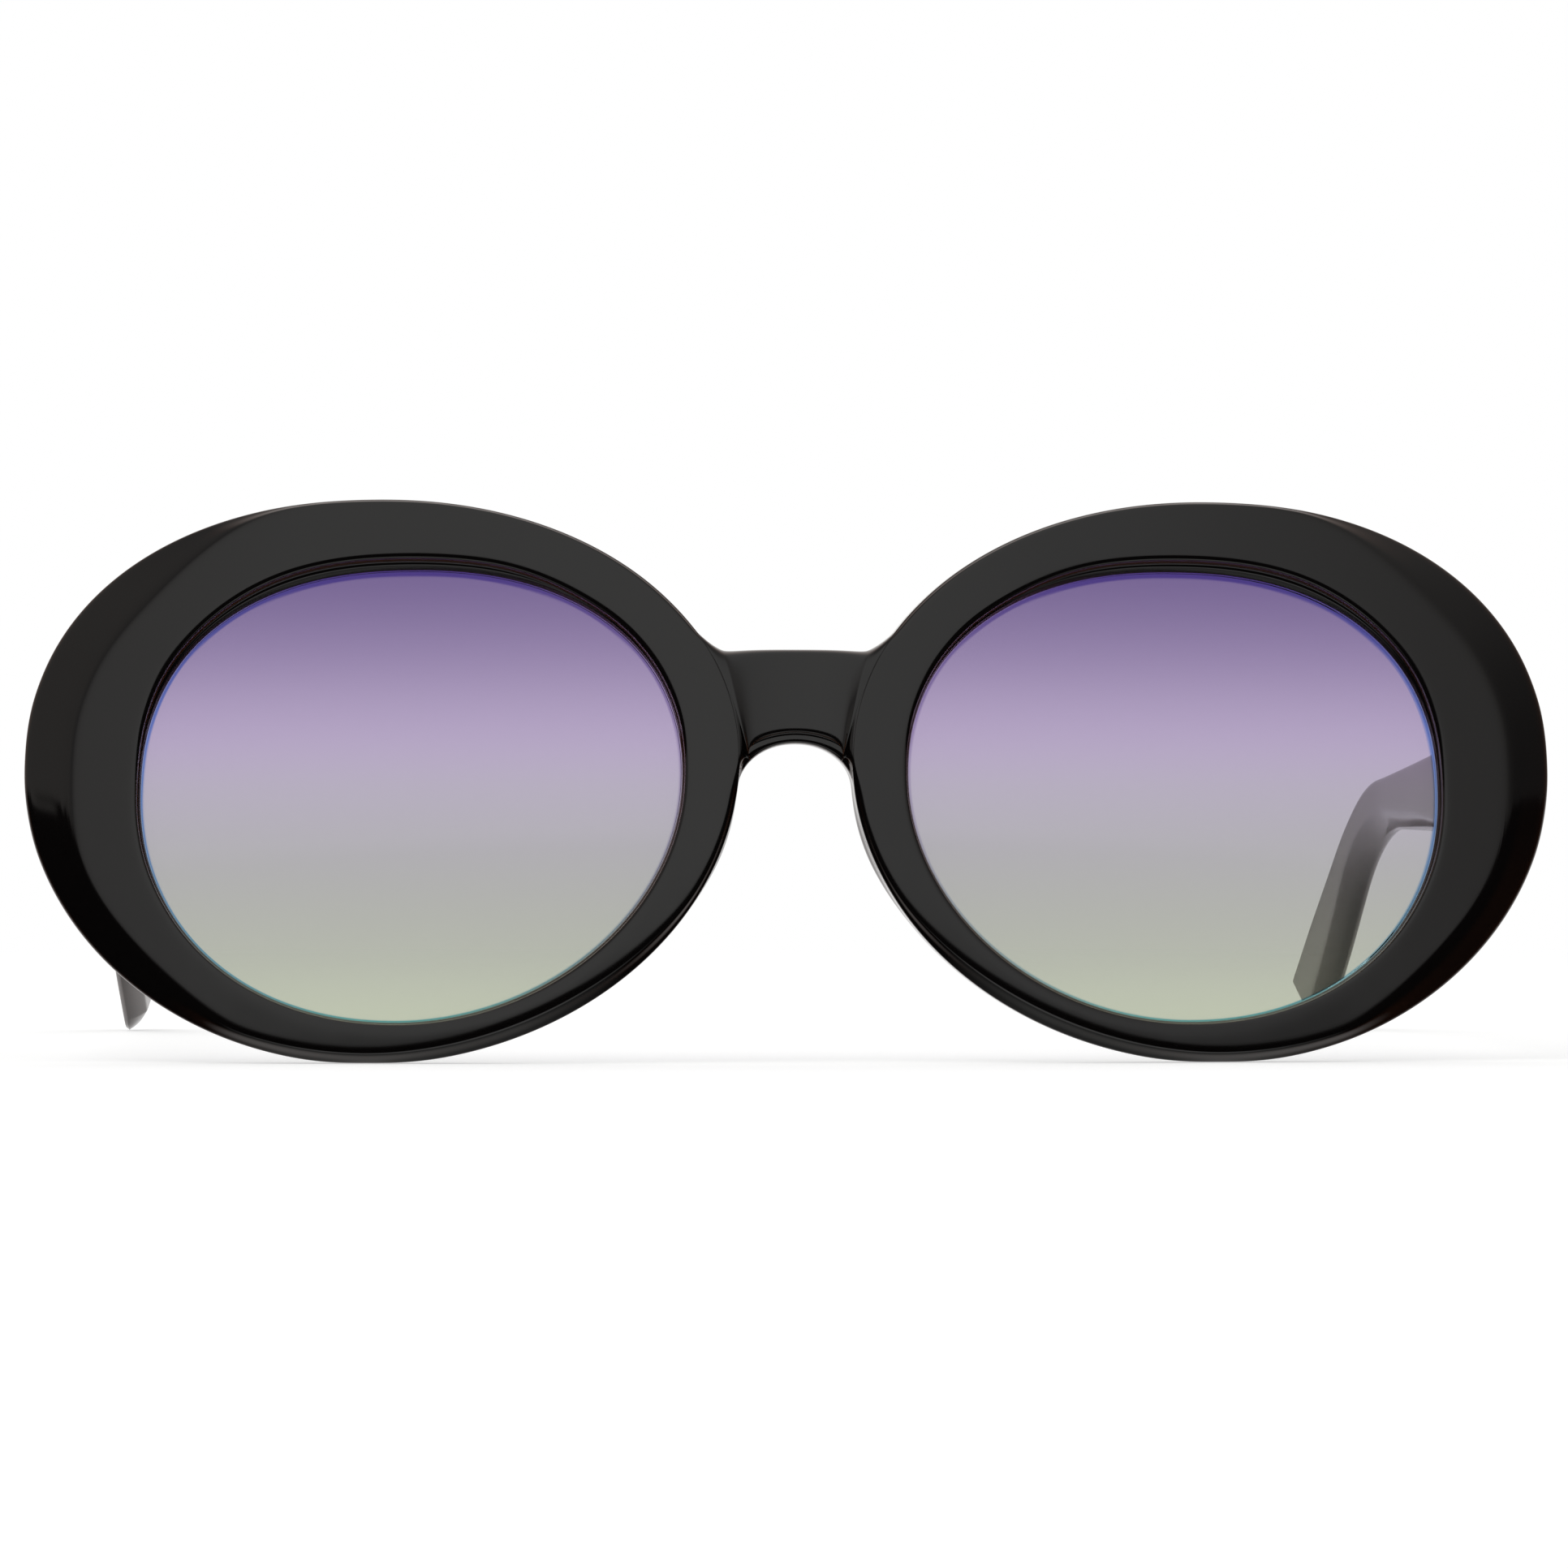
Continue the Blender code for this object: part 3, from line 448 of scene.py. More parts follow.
# A point of the bridge: share 0 is at the rim and 1 at the middle plane. The height is that of the same row at the
# middle plane. The lip keeps its width along the arch until the ridge cuts it off
def bridgeSpot(share, height):
    topX = front["bridgeReach"] * (1 - share)
    angle = math.radians(90) * (1 - share)
    power = front["archPower"]
    acrossArch, upArch = math.sin(angle) ** (2 / power), max(math.cos(angle), 0) ** (2 / power)
    arch = Vector((front["archHalfWidth"] * acrossArch, front["archCentre"] + front["archRise"] * upArch))
    away = Vector((acrossArch ** (power - 1) / front["archHalfWidth"], upArch ** (power - 1) / front["archRise"]))
    away.normalize()
    lipWidth = bridgeFace[lipRow - 1][0] - archTop
    room = max(front["ridgeLowX"] - arch.x, 0.02) / max(away.x, 0.001)
    scale = min(room / lipWidth, 1)
    if height < archTop + lipWidth:
        return arch + away * (height - archTop) * scale
    lipTop = arch + away * lipWidth * scale
    down = (front["bridgeTop"] - height) / (front["bridgeTop"] - archTop - lipWidth)
    return Vector((topX, bridgeTopAt(topX))).lerp(lipTop, down)


def makeFront():
    rings = [rimSection(math.radians(turn)) for turn in rimTurns]
    count = len(rings[0])
    points = [point for ring in rings for point in ring]
    spot = lambda station, row: station * count + row
    first = rimTurns.index(bridgeTurns[0])
    last = rimTurns.index(bridgeTurns[-1])
    back, face = 11, 17  # the rows of the section between which the bridge joins the rim
    faces = []
    for station in range(len(rings)):
        following = (station + 1) % len(rings)
        for row in range(count):
            if first <= station < last and back <= row < face:
                continue
            nextRow = (row + 1) % count
            faces.append(
                (spot(station, row), spot(station, nextRow), spot(following, nextRow), spot(following, row))
            )

    # Round the hole in the rim: down its face side, back along its foot, up its back and forward along its top
    ring = [(station, face) for station in range(first, last + 1)]
    ring += [(last, row) for row in range(face - 1, back, -1)]
    ring += [(station, back) for station in range(last, first - 1, -1)]
    ring += [(first, row) for row in range(back + 1, face)]
    middle = list(bridgeFace)
    middle += [(height, depth) for depth, height in bridgeFoot]
    middle += [(height, front["thickness"]) for height in reversed(bridgeBack)]
    middle += [(height, depth) for depth, height in bridgeTopRows]

    rimTop = points[spot(first, face)][2]
    rimLow = points[spot(last, face)][2]
    columns = [[spot(station, row) for station, row in ring]]
    for share in bridgeShares:
        column = []
        for k, ((station, row), (height, depth)) in enumerate(zip(ring, middle)):
            atRim = points[spot(station, row)]
            alongRim = mix(front["bridgeTop"], archTop, (rimTop - atRim[2]) / (rimTop - rimLow))
            x, z = bridgeSpot(share, mix(alongRim, height, smoothStep(share, *front["rowsFade"])))
            startX, startZ = bridgeSpot(0, alongRim)
            fade = 1 - smoothStep(share, *front["rimFade"])
            x += (atRim[0] - startX) * fade * (1 - share)
            z += (atRim[2] - startZ) * fade
            rimDepth = atRim[1] - bendAt(atRim[0])
            column.append(len(points))
            if k < lipRow:  # the face falls away inside a ridge and flattens towards the middle
                past = max(share - front["ridgeAt"], 0) / (1 - front["ridgeAt"])
                sunk = 1 - (1 - past) ** front["hollowPower"]
            else:
                sunk = smoothStep(share, *front["sinkFade"])
            points.append((x, bendAt(x) + mix(rimDepth, depth, sunk), z))
        columns.append(column)
    for one, other in zip(columns, columns[1:]):
        for k in range(len(one)):
            following = (k + 1) % len(one)
            faces.append((one[k], one[following], other[following], other[k]))

    # The left half mirrors the right one and shares the points of the middle plane
    size = len(points)
    points += [(-x, y, z) for x, y, z in points]
    faces += [tuple(size + k for k in reversed(corners)) for corners in faces]
    piece = addPiece("frontInAcetate", points, faces, frontAcetate)
    subdivide(piece)
    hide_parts("front_frame")
    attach(piece, "front")


makeFront()
print("front made")


# Lenses

lens = {"thickness": 2.0, "bulge": 0.8, "gap": 0.06, "vReach": 0.6, "turns": 160, "rings": 20, "ringPower": 0.8,
        "openShare": 0.95}
edgeShares = [0.96, 0.968, 0.975, 0.982, 0.988, 0.993, 0.997, 1.0]


# Painted reflection: colour painted onto the lens next to the rim, in place of its edge seen through it
def paintedEdgeReflectionAt(turn, away):
    quarter = (turn / (math.pi / 2)) % 4
    one, other = int(quarter), (int(quarter) + 1) % 4
    share = smoothStep(quarter - one, 0, 1)
    width = mix(lensTint["paintedEdgeWidths"][one], lensTint["paintedEdgeWidths"][other], share)
    paintedEdgeColours = [Vector(linear(lensTint["paintedEdgeReflections"][k])) for k in (one, other)]
    return paintedEdgeColours[0].lerp(paintedEdgeColours[1], share).lerp(Vector((1, 1, 1, 1)), smoothStep(away, 0.75 * width, width))


# A shell in rings from its middle out to the V edge that sits in the groove, and back in behind
def makeLens(label, side):
    half = lens["thickness"] / 2
    centre = Vector(front["lens"]["centre"])
    edges = []
    for k in range(lens["turns"]):
        turn = 2 * math.pi * k / lens["turns"]
        inner = outlinePoint(front["lens"], turn)
        out = (outlinePoint(front["rim"], turn) - inner).normalized()
        edges.append((inner - out * lens["gap"], inner + out * lens["vReach"]))
    steps = [(k / lens["rings"]) ** lens["ringPower"] for k in range(1, lens["rings"] + 1)]
    shares = [lens["openShare"] * step for step in steps] + edgeShares
    points, paintedEdgeColours = [], []

    def addRing(share, depth):
        for k, (corner, _) in enumerate(edges):
            x, z = centre + (corner - centre) * share
            points.append((side * x, bendAt(x) + depth - lens["bulge"] * (1 - share * share), z))
            paintedEdgeColours.append(paintedEdgeReflectionAt(2 * math.pi * k / lens["turns"], (corner - centre).length * (1 - share)))

    for share in shares:
        addRing(share, front["lensDepth"] - half)
    for k, (_, apex) in enumerate(edges):
        points.append((side * apex.x, bendAt(apex.x) + front["lensDepth"], apex.y))
        paintedEdgeColours.append(paintedEdgeReflectionAt(2 * math.pi * k / lens["turns"], 0))
    for share in reversed(shares):
        addRing(share, front["lensDepth"] + half)
    count = lens["turns"]
    total = len(points) // count
    faces = facesBetween(total, count)
    for ring, depth in ((0, front["lensDepth"] - half), (total - 1, front["lensDepth"] + half)):
        middle = len(points)
        points.append((side * centre.x, bendAt(centre.x) + depth - lens["bulge"], centre.y))
        paintedEdgeColours.append(Vector((1, 1, 1, 1)))
        faces += [(ring * count + k, ring * count + (k + 1) % count, middle) for k in range(count)]
    piece = addPiece(f"dyedLens{label.title()}", points, faces, dyedLens)
    piece.data.set_sharp_from_angle(angle=sharpFrom)
    # The painted edge reflection, stored as a colour on each point
    paintedEdgeReflection = piece.data.color_attributes.new("paintedEdgeReflection", "FLOAT_COLOR", "POINT")
    paintedEdgeReflection.data.foreach_set("color", [channel for tint in paintedEdgeColours for channel in tint])
    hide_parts(f"lens_{label}")
    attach(piece, "front")


for label, side in sides:
    makeLens(label, side)
print("lenses made")


# Temples

temple = {
    "start": -1.75, "inner": 1.8, "thickness": (4.9, 3.6, 3.1), "halfHeight": (5.55, 2.85, 4.35), "waistAt": 81.5,
    "bendRadius": 61.0, "bendAngle": 29.0, "flare": (100.0, 130.0), "hugStart": 55.0, "hug": 2.5,
    "raised": ((0, 0.3), (90, 0.25), (118, 0.0)),
    "tipLength": 36.7, "tipSlant": 6.3, "cornerAbove": 2.5, "cornerBelow": 5.9, "facetWidth": 3.4, "facetAngle": 25.0,
    "bevelAbove": ((0, 0.5), (30, 0.8), (68, 1.6), (85, 1.1), (108, 0.5)), "bevelAboveDepth": 0.02,
    "bevelBelow": ((0, 0.9), (30, 1.3), (68, 2.2), (110, 2.4)), "bevelBelowSlope": 0.85,
    "flatLean": 3.3, "outerRound": 0.6, "endRound": 0.9, "cornerRound": 0.2,
    "straightSteps": 26, "bendSteps": 12, "tipSteps": 9, "tipStepsEnd": 4.4,
}
bendAngle = math.radians(temple["bendAngle"])
bendDrop = temple["bendRadius"] * (1 - math.cos(bendAngle))
bendRun = temple["bendRadius"] * math.sin(bendAngle)
paddle = temple["halfHeight"][2]
slantAngle = math.atan2(temple["tipSlant"], 2 * paddle)
endWay = Vector((math.sin(slantAngle), math.cos(slantAngle)))  # up along the tip's slanted end
endOut = Vector((math.cos(slantAngle), -math.sin(slantAngle)))
aboveRun = temple["tipLength"] - temple["cornerAbove"] / math.tan(math.pi / 4 - slantAngle / 2)
belowRun = temple["tipLength"] - temple["tipSlant"] - temple["cornerBelow"] / math.tan(math.pi / 4 + slantAngle / 2)


# Distance behind the hinge and height of a place past the bend, given along and square to the centre line
def tipPlace(run, rise):
    at = temple["waistAt"] + bendRun + run * math.cos(bendAngle) + rise * math.sin(bendAngle)
    return at, rise * math.cos(bendAngle) - run * math.sin(bendAngle) - bendDrop


templeReach = tipPlace(aboveRun, paddle - temple["cornerAbove"])[0] + temple["cornerAbove"]


# Lower and upper end of a line across the tip, parallel to its slanted end and this far in from it
def tipLine(away):
    shift = away / math.cos(slantAngle)
    low = Vector((temple["tipLength"] - temple["tipSlant"] - shift, -paddle))
    high = Vector((temple["tipLength"] - shift, paddle))
    above, below = temple["cornerAbove"], temple["cornerBelow"]
    if away < above * (1 + math.sin(slantAngle)):
        along = math.sqrt(above**2 - (above - away) ** 2)
        high = Vector((aboveRun, paddle - above)) + endOut * (above - away) + endWay * along
    if away < below * (1 - math.sin(slantAngle)):
        along = math.sqrt(below**2 - (below - away) ** 2)
        low = Vector((belowRun, below - paddle)) + endOut * (below - away) - endWay * along
    return low, high


# Inner side, outer side and half height of the temple at a distance behind its hinge
def templeSizes(at):
    butt, waist, tip = temple["thickness"]
    high, slim, _ = temple["halfHeight"]
    if at < temple["waistAt"]:
        share = at / temple["waistAt"]
        thick, half = mix(butt, waist, share), mix(high, slim, share)
    else:
        share = (at - temple["waistAt"]) / (templeReach - temple["waistAt"])
        thick, half = mix(waist, tip, share), mix(slim, paddle, smoothStep(at, *temple["flare"]))
    hugging = max(at - temple["hugStart"], 0) / (templeReach - temple["hugStart"])
    outer = temple["inner"] + butt - temple["hug"] * hugging * hugging
    return outer - thick, outer, half


# The corners of a section, each cut into two points so that the subdivision rounds it by about that much
def softened(corners, cut):
    points = []
    for k, corner in enumerate(corners):
        for neighbour in (corners[k - 1], corners[(k + 1) % len(corners)]):
            step = Vector(neighbour) - Vector(corner)
            points.append(Vector(corner) + step * min(cut / max(step.length, 0.001), 0.42))
    return points


# Section of the temple: its inner side is a flat that faces a little down, between a plain bevel above and a round
# one below, and its outer side is flat. At the tip the flat ends in a facet that recedes towards the end. The rise is
# how far the middle of the section is above the centre line, and turned how far it leans from square to it
def templeRing(side, at, height, slope, half, inset=0.0, rise=0.0, turned=0.0, pastFlat=0.0):
    inner, outer, fullHalf = templeSizes(max(at, 0))
    above, below = fromTable(temple["bevelAbove"], at), fromTable(temple["bevelBelow"], at)
    if half < paddle and pastFlat > 0:
        above, below = min(above, 0.3 * half), min(below, 0.8 * half)
    lean = math.tan(math.radians(temple["flatLean"]))
    sunk = inset + pastFlat * math.tan(math.radians(temple["facetAngle"]))
    deep = below * temple["bevelBelowSlope"]
    brow, edge = temple["bevelAboveDepth"], half - inset
    room = outer - inner - sunk - inset
    deep = min(deep, 0.6 * room)
    r = min(temple["outerRound"], 0.35 * room)
    corners = [  # on the inner or the outer side, depth from it, height along the section
        # the bevel above
        (0, 0, edge - above), (0, brow, edge - 0.14), (0, brow + 0.3, edge),
        # the outer side
        (1, -r, edge), (1, 0, edge - r), (1, 0, r - edge), (1, -r, -edge),
        # the round bevel below
        (0, 1.02 * deep, -edge), (0, 0.8 * deep, 0.08 * below - edge), (0, 0.52 * deep, 0.3 * below - edge),
        (0, 0.25 * deep, 0.62 * below - edge), (0, 0, below - edge),
    ]
    points = []
    for outside, depth, up in corners:
        here = at + up * math.sin(slope)
        inner, outer, _ = templeSizes(min(max(here, 0), templeReach))
        belowFlat = min(half, fullHalf) - above - rise - up * math.cos(turned)
        x = outer - inset + depth if outside else inner + sunk + depth + lean * belowFlat
        points.append(Vector((x, here, height + up * math.cos(slope))))
    return [(side * point.x, point.y, point.z) for point in softened(points, temple["cornerRound"])]


# The sections along the temple, as templeRing takes them: the butt with its edge rounded, the straight part, the
# bend, the droop, whose sections turn until they are parallel to the slanted end, and the end with its facet
def templeStations():
    half = templeSizes(0)[2]
    raised = temple["raised"][0][1]
    stations = [(temple["start"], raised, 0, half, 0.35), (temple["start"] + 0.08, raised, 0, half, 0.08)]
    for k in range(temple["straightSteps"]):
        at = mix(temple["start"] + 0.4, temple["waistAt"], k / temple["straightSteps"])
        stations.append((at, fromTable(temple["raised"], at), 0, templeSizes(max(at, 0))[2]))
    for k in range(temple["bendSteps"] + 1):
        angle = bendAngle * k / temple["bendSteps"]
        at = temple["waistAt"] + temple["bendRadius"] * math.sin(angle)
        height = temple["bendRadius"] * (math.cos(angle) - 1) + fromTable(temple["raised"], at)
        stations.append((at, height, angle, templeSizes(at)[2]))
    lastLow, lastHigh = tipLine(temple["tipStepsEnd"])
    for k in range(1, temple["tipSteps"] + 1):
        share = k / temple["tipSteps"]
        at, height = tipPlace((lastLow.x + lastHigh.x) / 2 * share, 0)
        half = templeSizes(at)[2]
        turned = math.atan2((lastHigh.x - lastLow.x) * share, 2 * half)
        stations.append((at, height + fromTable(temple["raised"], at), bendAngle + turned, half / math.cos(turned),
                         0, 0, turned))
    facet, bend = temple["facetWidth"], temple["endRound"]
    for away in (3.9, facet + 0.05, facet - 0.1, 2.8, 2.2, 1.6, 1.15, 0.8, 0.5, 0.25, 0.08, 0.0):
        low, high = tipLine(away)
        middle = (low + high) / 2
        inset = 0.85 * (bend - math.sqrt(bend**2 - (bend - away) ** 2)) if away < bend else 0
        stations.append((*tipPlace(middle.x, middle.y), bendAngle + slantAngle, (high - low).length / 2, inset,
                         middle.y, slantAngle, max(facet - away, 0)))
    return stations


def makeTemple(label, side):
    rings = [templeRing(side, *station) for station in templeStations()]
    count = len(rings[0])
    points = [point for ring in rings for point in ring]
    faces = facesBetween(len(rings), count)
    faces += [tuple(range(count)), tuple(range(len(points) - count, len(points)))]
    piece = addPiece(f"templeInAcetate{label.title()}", points, faces, templeAcetate, hingePlaces[label])
    subdivide(piece)
    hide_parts(f"temple_{label}")
    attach(piece, f"{label}_temple")


for label, side in sides:
    makeTemple(label, side)
print("temples made")


# Hinges: stamped leaves whose knuckles are rolled round the screw

hinge = {
    "knuckles": 5, "knuckleHeight": 0.75, "gap": 0.25, "radius": 1.25, "bore": 0.7, "edgeRound": 0.1,
    "armHalfWidth": 0.9, "leafThickness": 1.0, "leafProud": 0.2, "leafMargin": 0.1, "templeLeafLength": 6.2,
    "templeLeafStart": 1.2, "frontLeafIn": 2.7, "frontLeafOut": 1.4, "frontLeafSink": 0.5, "setBack": 2.05,
    "leafEdgeRound": 0.14, "roundEndSteps": 32,
}
pitch = hinge["knuckleHeight"] + hinge["gap"]
hingeHalf = (hinge["knuckles"] * pitch - hinge["gap"]) / 2
leafHalf = hingeHalf + hinge["leafMargin"]


# Geometry Nodes: a bored barrel with an arm that reaches its leaf, on a line of points along the hinge axis
def knuckleTree():
    tree = bpy.data.node_groups.new("rolledKnuckles", "GeometryNodeTree")
    tree.interface.new_socket("Leaf", in_out="INPUT", socket_type="NodeSocketGeometry")
    for name, kind in (
        ("Turn", "Float"), ("Count", "Int"), ("First Height", "Float"), ("Step", "Float"),
        ("Knuckle Height", "Float"), ("Outer Radius", "Float"), ("Bore Radius", "Float"), ("Edge Round", "Float"),
        ("Arm Reach", "Float"), ("Arm Width", "Float"), ("Metal", "Material"),
    ):
        tree.interface.new_socket(name, in_out="INPUT", socket_type=f"NodeSocket{kind}")
    tree.interface.new_socket("Hinge Leaf", in_out="OUTPUT", socket_type="NodeSocketGeometry")
    sizes = addNode(tree, "NodeGroupInput").outputs

    # The barrel: a rounded rectangle drawn round the middle of its wall
    wall = addNode(
        tree, "ShaderNodeMath", {"operation": "SUBTRACT"}, {0: sizes["Outer Radius"], 1: sizes["Bore Radius"]}
    )
    middle = addNode(tree, "ShaderNodeMix", {0: 0.5}, {2: sizes["Outer Radius"], 3: sizes["Bore Radius"]})
    loop = addNode(tree, "GeometryNodeCurvePrimitiveCircle", {"Resolution": 40}, {"Radius": middle})
    upright = addNode(tree, "GeometryNodeSetCurveNormal", {"mode": "Z_UP"}, {"Curve": loop})
    section = addNode(
        tree, "GeometryNodeCurvePrimitiveQuadrilateral", None, {"Width": wall, "Height": sizes["Knuckle Height"]}
    )
    rounded = addNode(
        tree, "GeometryNodeFilletCurve", {"mode": "POLY", "Count": 3},
        {"Curve": section, "Radius": sizes["Edge Round"]},
    )
    barrel = addNode(tree, "GeometryNodeCurveToMesh", None, {"Curve": upright, "Profile Curve": rounded})

    # The arm runs from there to the leaf
    armLength = addNode(tree, "ShaderNodeMath", {"operation": "SUBTRACT"}, {0: sizes["Arm Reach"], 1: middle})
    armMiddle = addNode(tree, "ShaderNodeMix", {0: 0.5}, {2: sizes["Arm Reach"], 3: middle})
    armSize = addNode(
        tree, "ShaderNodeCombineXYZ", None, {"X": armLength, "Y": sizes["Arm Width"], "Z": sizes["Knuckle Height"]}
    )
    armPlace = addNode(tree, "ShaderNodeCombineXYZ", None, {"X": armMiddle})
    arm = addNode(tree, "GeometryNodeMeshCube", None, {"Size": armSize})
    armSet = addNode(tree, "GeometryNodeTransform", None, {"Geometry": arm, "Translation": armPlace})
    knuckle = addNode(tree, "GeometryNodeJoinGeometry")
    tree.links.new(barrel.outputs["Mesh"], knuckle.inputs["Geometry"])
    tree.links.new(armSet.outputs["Geometry"], knuckle.inputs["Geometry"])

    start = addNode(tree, "ShaderNodeCombineXYZ", None, {"Z": sizes["First Height"]})
    stride = addNode(tree, "ShaderNodeCombineXYZ", None, {"Z": sizes["Step"]})
    line = addNode(
        tree, "GeometryNodeMeshLine", {"mode": "OFFSET"},
        {"Count": sizes["Count"], "Start Location": start, "Offset": stride},
    )
    angles = addNode(tree, "ShaderNodeCombineXYZ", None, {"Z": sizes["Turn"]})
    placed = addNode(
        tree, "GeometryNodeInstanceOnPoints", None, {"Points": line, "Instance": knuckle, "Rotation": angles}
    )
    both = addNode(tree, "GeometryNodeJoinGeometry")
    tree.links.new(placed.outputs["Instances"], both.inputs["Geometry"])
    tree.links.new(sizes["Leaf"], both.inputs["Geometry"])
    solid = addNode(tree, "GeometryNodeRealizeInstances", None, {"Geometry": both})
    coated = addNode(tree, "GeometryNodeSetMaterial", None, {"Geometry": solid, "Material": sizes["Metal"]})
    addNode(tree, "NodeGroupOutput", None, {"Hinge Leaf": coated})
    return tree


knuckleNodes = knuckleTree()


# Puts the knuckles on a leaf with the nodes, and turns the result into a plain mesh
def addKnuckles(leaf, place, turn, count, first, reach):
    change = leaf.modifiers.new("knuckles", "NODES")
    change.node_group = knuckleNodes
    values = {
        "Turn": turn, "Count": count,
        "First Height": ((first + 0.5) * pitch - hinge["gap"] / 2 - hingeHalf) * mm, "Step": 2 * pitch * mm,
        "Knuckle Height": hinge["knuckleHeight"] * mm, "Outer Radius": hinge["radius"] * mm,
        "Bore Radius": hinge["bore"] * mm, "Edge Round": hinge["edgeRound"] * mm, "Arm Reach": reach * mm,
        "Arm Width": 2 * hinge["armHalfWidth"] * mm, "Metal": nickelSilver,
    }
    for item in knuckleNodes.interface.items_tree:
        if item.in_out == "INPUT" and item.name in values:
            change[item.identifier] = values[item.name]
    baked = flattened(leaf)
    bm = bmesh.new()
    bm.from_mesh(baked)
    bmesh.ops.transform(bm, matrix=place, verts=bm.verts)
    bmesh.ops.recalc_face_normals(bm, faces=bm.faces)
    bm.to_mesh(baked)
    bm.free()
    baked.shade_smooth()
    baked.set_sharp_from_angle(angle=sharpFrom)


# A plate from its outline, drawn from one distance to another, with its edges broken. The turn sets it in place
def plate(name, outline, low, high, turn):
    bm = bmesh.new()
    base = bm.faces.new([bm.verts.new((x * mm, y * mm, low * mm)) for x, y in outline])
    drawn = bmesh.ops.extrude_face_region(bm, geom=[base])
    top = [item for item in drawn["geom"] if isinstance(item, bmesh.types.BMVert)]
    bmesh.ops.translate(bm, vec=(0, 0, (high - low) * mm), verts=top)
    bmesh.ops.recalc_face_normals(bm, faces=bm.faces)
    rims = [edge for edge in bm.edges if edge.calc_face_angle() > math.radians(60)]
    bmesh.ops.bevel(bm, geom=rims, offset=hinge["leafEdgeRound"] * mm, segments=3, profile=0.5, affect="EDGES")
    bmesh.ops.transform(bm, matrix=turn, verts=bm.verts)
    bmesh.ops.recalc_face_normals(bm, faces=bm.faces)
    return addFromBmesh(name, bm, nickelSilver)


def makeHinge(label, side):
    place = hingePlaces[label]
    inner = temple["inner"] - hinge["leafProud"]
    outer = inner + hinge["leafThickness"]
    roundAt = hinge["templeLeafLength"] - leafHalf
    outline = [(-hinge["templeLeafStart"], leafHalf), (-hinge["templeLeafStart"], -leafHalf)]
    for k in range(hinge["roundEndSteps"] + 1):
        angle = math.radians(-90 + 180 * k / hinge["roundEndSteps"])
        outline.append((roundAt + leafHalf * math.cos(angle), leafHalf * math.sin(angle)))
    sideways = Matrix(((0, 0, side, 0), (1, 0, 0, 0), (0, 1, 0, 0), (0, 0, 0, 1)))
    leaf = plate(f"templeLeaf{label.title()}", outline, inner, outer, sideways)
    addKnuckles(leaf, place, 0 if side > 0 else math.pi, 3, 0, (inner + outer) / 2)
    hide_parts(f"hinge_temple_leaf_{label}")
    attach(leaf, f"{label}_temple")

    back = hinge["leafThickness"] - hinge["frontLeafSink"] - hinge["setBack"]
    low, high = sorted((-side * hinge["frontLeafIn"], side * hinge["frontLeafOut"]))
    outline = [(low, -leafHalf), (high, -leafHalf), (high, leafHalf), (low, leafHalf)]
    upright = Matrix(((1, 0, 0, 0), (0, 0, 1, 0), (0, 1, 0, 0), (0, 0, 0, 1)))
    leaf = plate(f"frontLeaf{label.title()}", outline, back - hinge["leafThickness"], back, upright)
    addKnuckles(leaf, place, math.radians(-90), 2, 1, hinge["leafThickness"] / 2 - back)
    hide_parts(f"hinge_front_leaf_{label}")
    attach(leaf, "front")


for label, side in sides:
    makeHinge(label, side)
print("hinges made")


# Screws: turned, with a domed and slotted head

screw = {"radius": 0.6, "headRadius": 1.1, "headHeight": 0.5, "slotWidth": 0.3, "slotDepth": 0.25, "slotTurn": 35.0,
         "tail": 0.3, "turns": 48, "sharpFrom": 35.0}


def makeScrew(label):
    headLow = hingeHalf + hinge["gap"]
    headTop = headLow + screw["headHeight"]
    lowEnd = -hingeHalf - screw["tail"]
    head, shank = screw["headRadius"], screw["radius"]
    profile = [
        (0.0, lowEnd), (shank - 0.12, lowEnd), (shank, lowEnd + 0.12), (shank, headLow), (head - 0.08, headLow),
        (head, headLow + 0.08), (head, headTop - 0.2), (head - 0.07, headTop - 0.1), (head - 0.25, headTop - 0.03),
        (0.5 * head, headTop), (0.0, headTop),
    ]
    bm = bmesh.new()
    line = [bm.verts.new((r * mm, 0, z * mm)) for r, z in profile]
    edges = [bm.edges.new(pair) for pair in zip(line, line[1:])]
    bmesh.ops.spin(
        bm, geom=line + edges, axis=(0, 0, 1), cent=(0, 0, 0), steps=screw["turns"], angle=2 * math.pi,
        use_merge=True, use_duplicate=False,
    )
    bmesh.ops.remove_doubles(bm, verts=bm.verts, dist=2 * mergeDistance)
    bmesh.ops.recalc_face_normals(bm, faces=bm.faces)
    piece = addFromBmesh(f"hingeScrew{label.title()}", bm, screwSteel)

    bm = bmesh.new()
    bmesh.ops.create_cube(bm, size=1)
    size = (2 * head + 1, screw["slotWidth"], 2 * screw["slotDepth"])
    bmesh.ops.scale(bm, vec=[length * mm for length in size], verts=bm.verts)
    bmesh.ops.rotate(bm, matrix=Matrix.Rotation(math.radians(screw["slotTurn"]), 3, "Z"), verts=bm.verts)
    bmesh.ops.translate(bm, vec=(0, 0, headTop * mm), verts=bm.verts)
    tool = addFromBmesh("slotCutter", bm)
    cut = piece.modifiers.new("slot", "BOOLEAN")
    cut.operation = "DIFFERENCE"
    cut.object = tool
    baked = flattened(piece)
    bpy.data.objects.remove(tool)
    baked.transform(hingePlaces[label])
    baked.shade_smooth()
    baked.set_sharp_from_angle(angle=math.radians(screw["sharpFrom"]))
    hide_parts(f"hinge_screw_{label}")
    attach(piece, "front")


for label, side in sides:
    makeScrew(label)
    core = frame["nodes"][f"temple_core_{label}"]
    core.data.materials.clear()
    core.data.materials.append(springWire)
print("screws and core wires done")


# Floor, light and camera

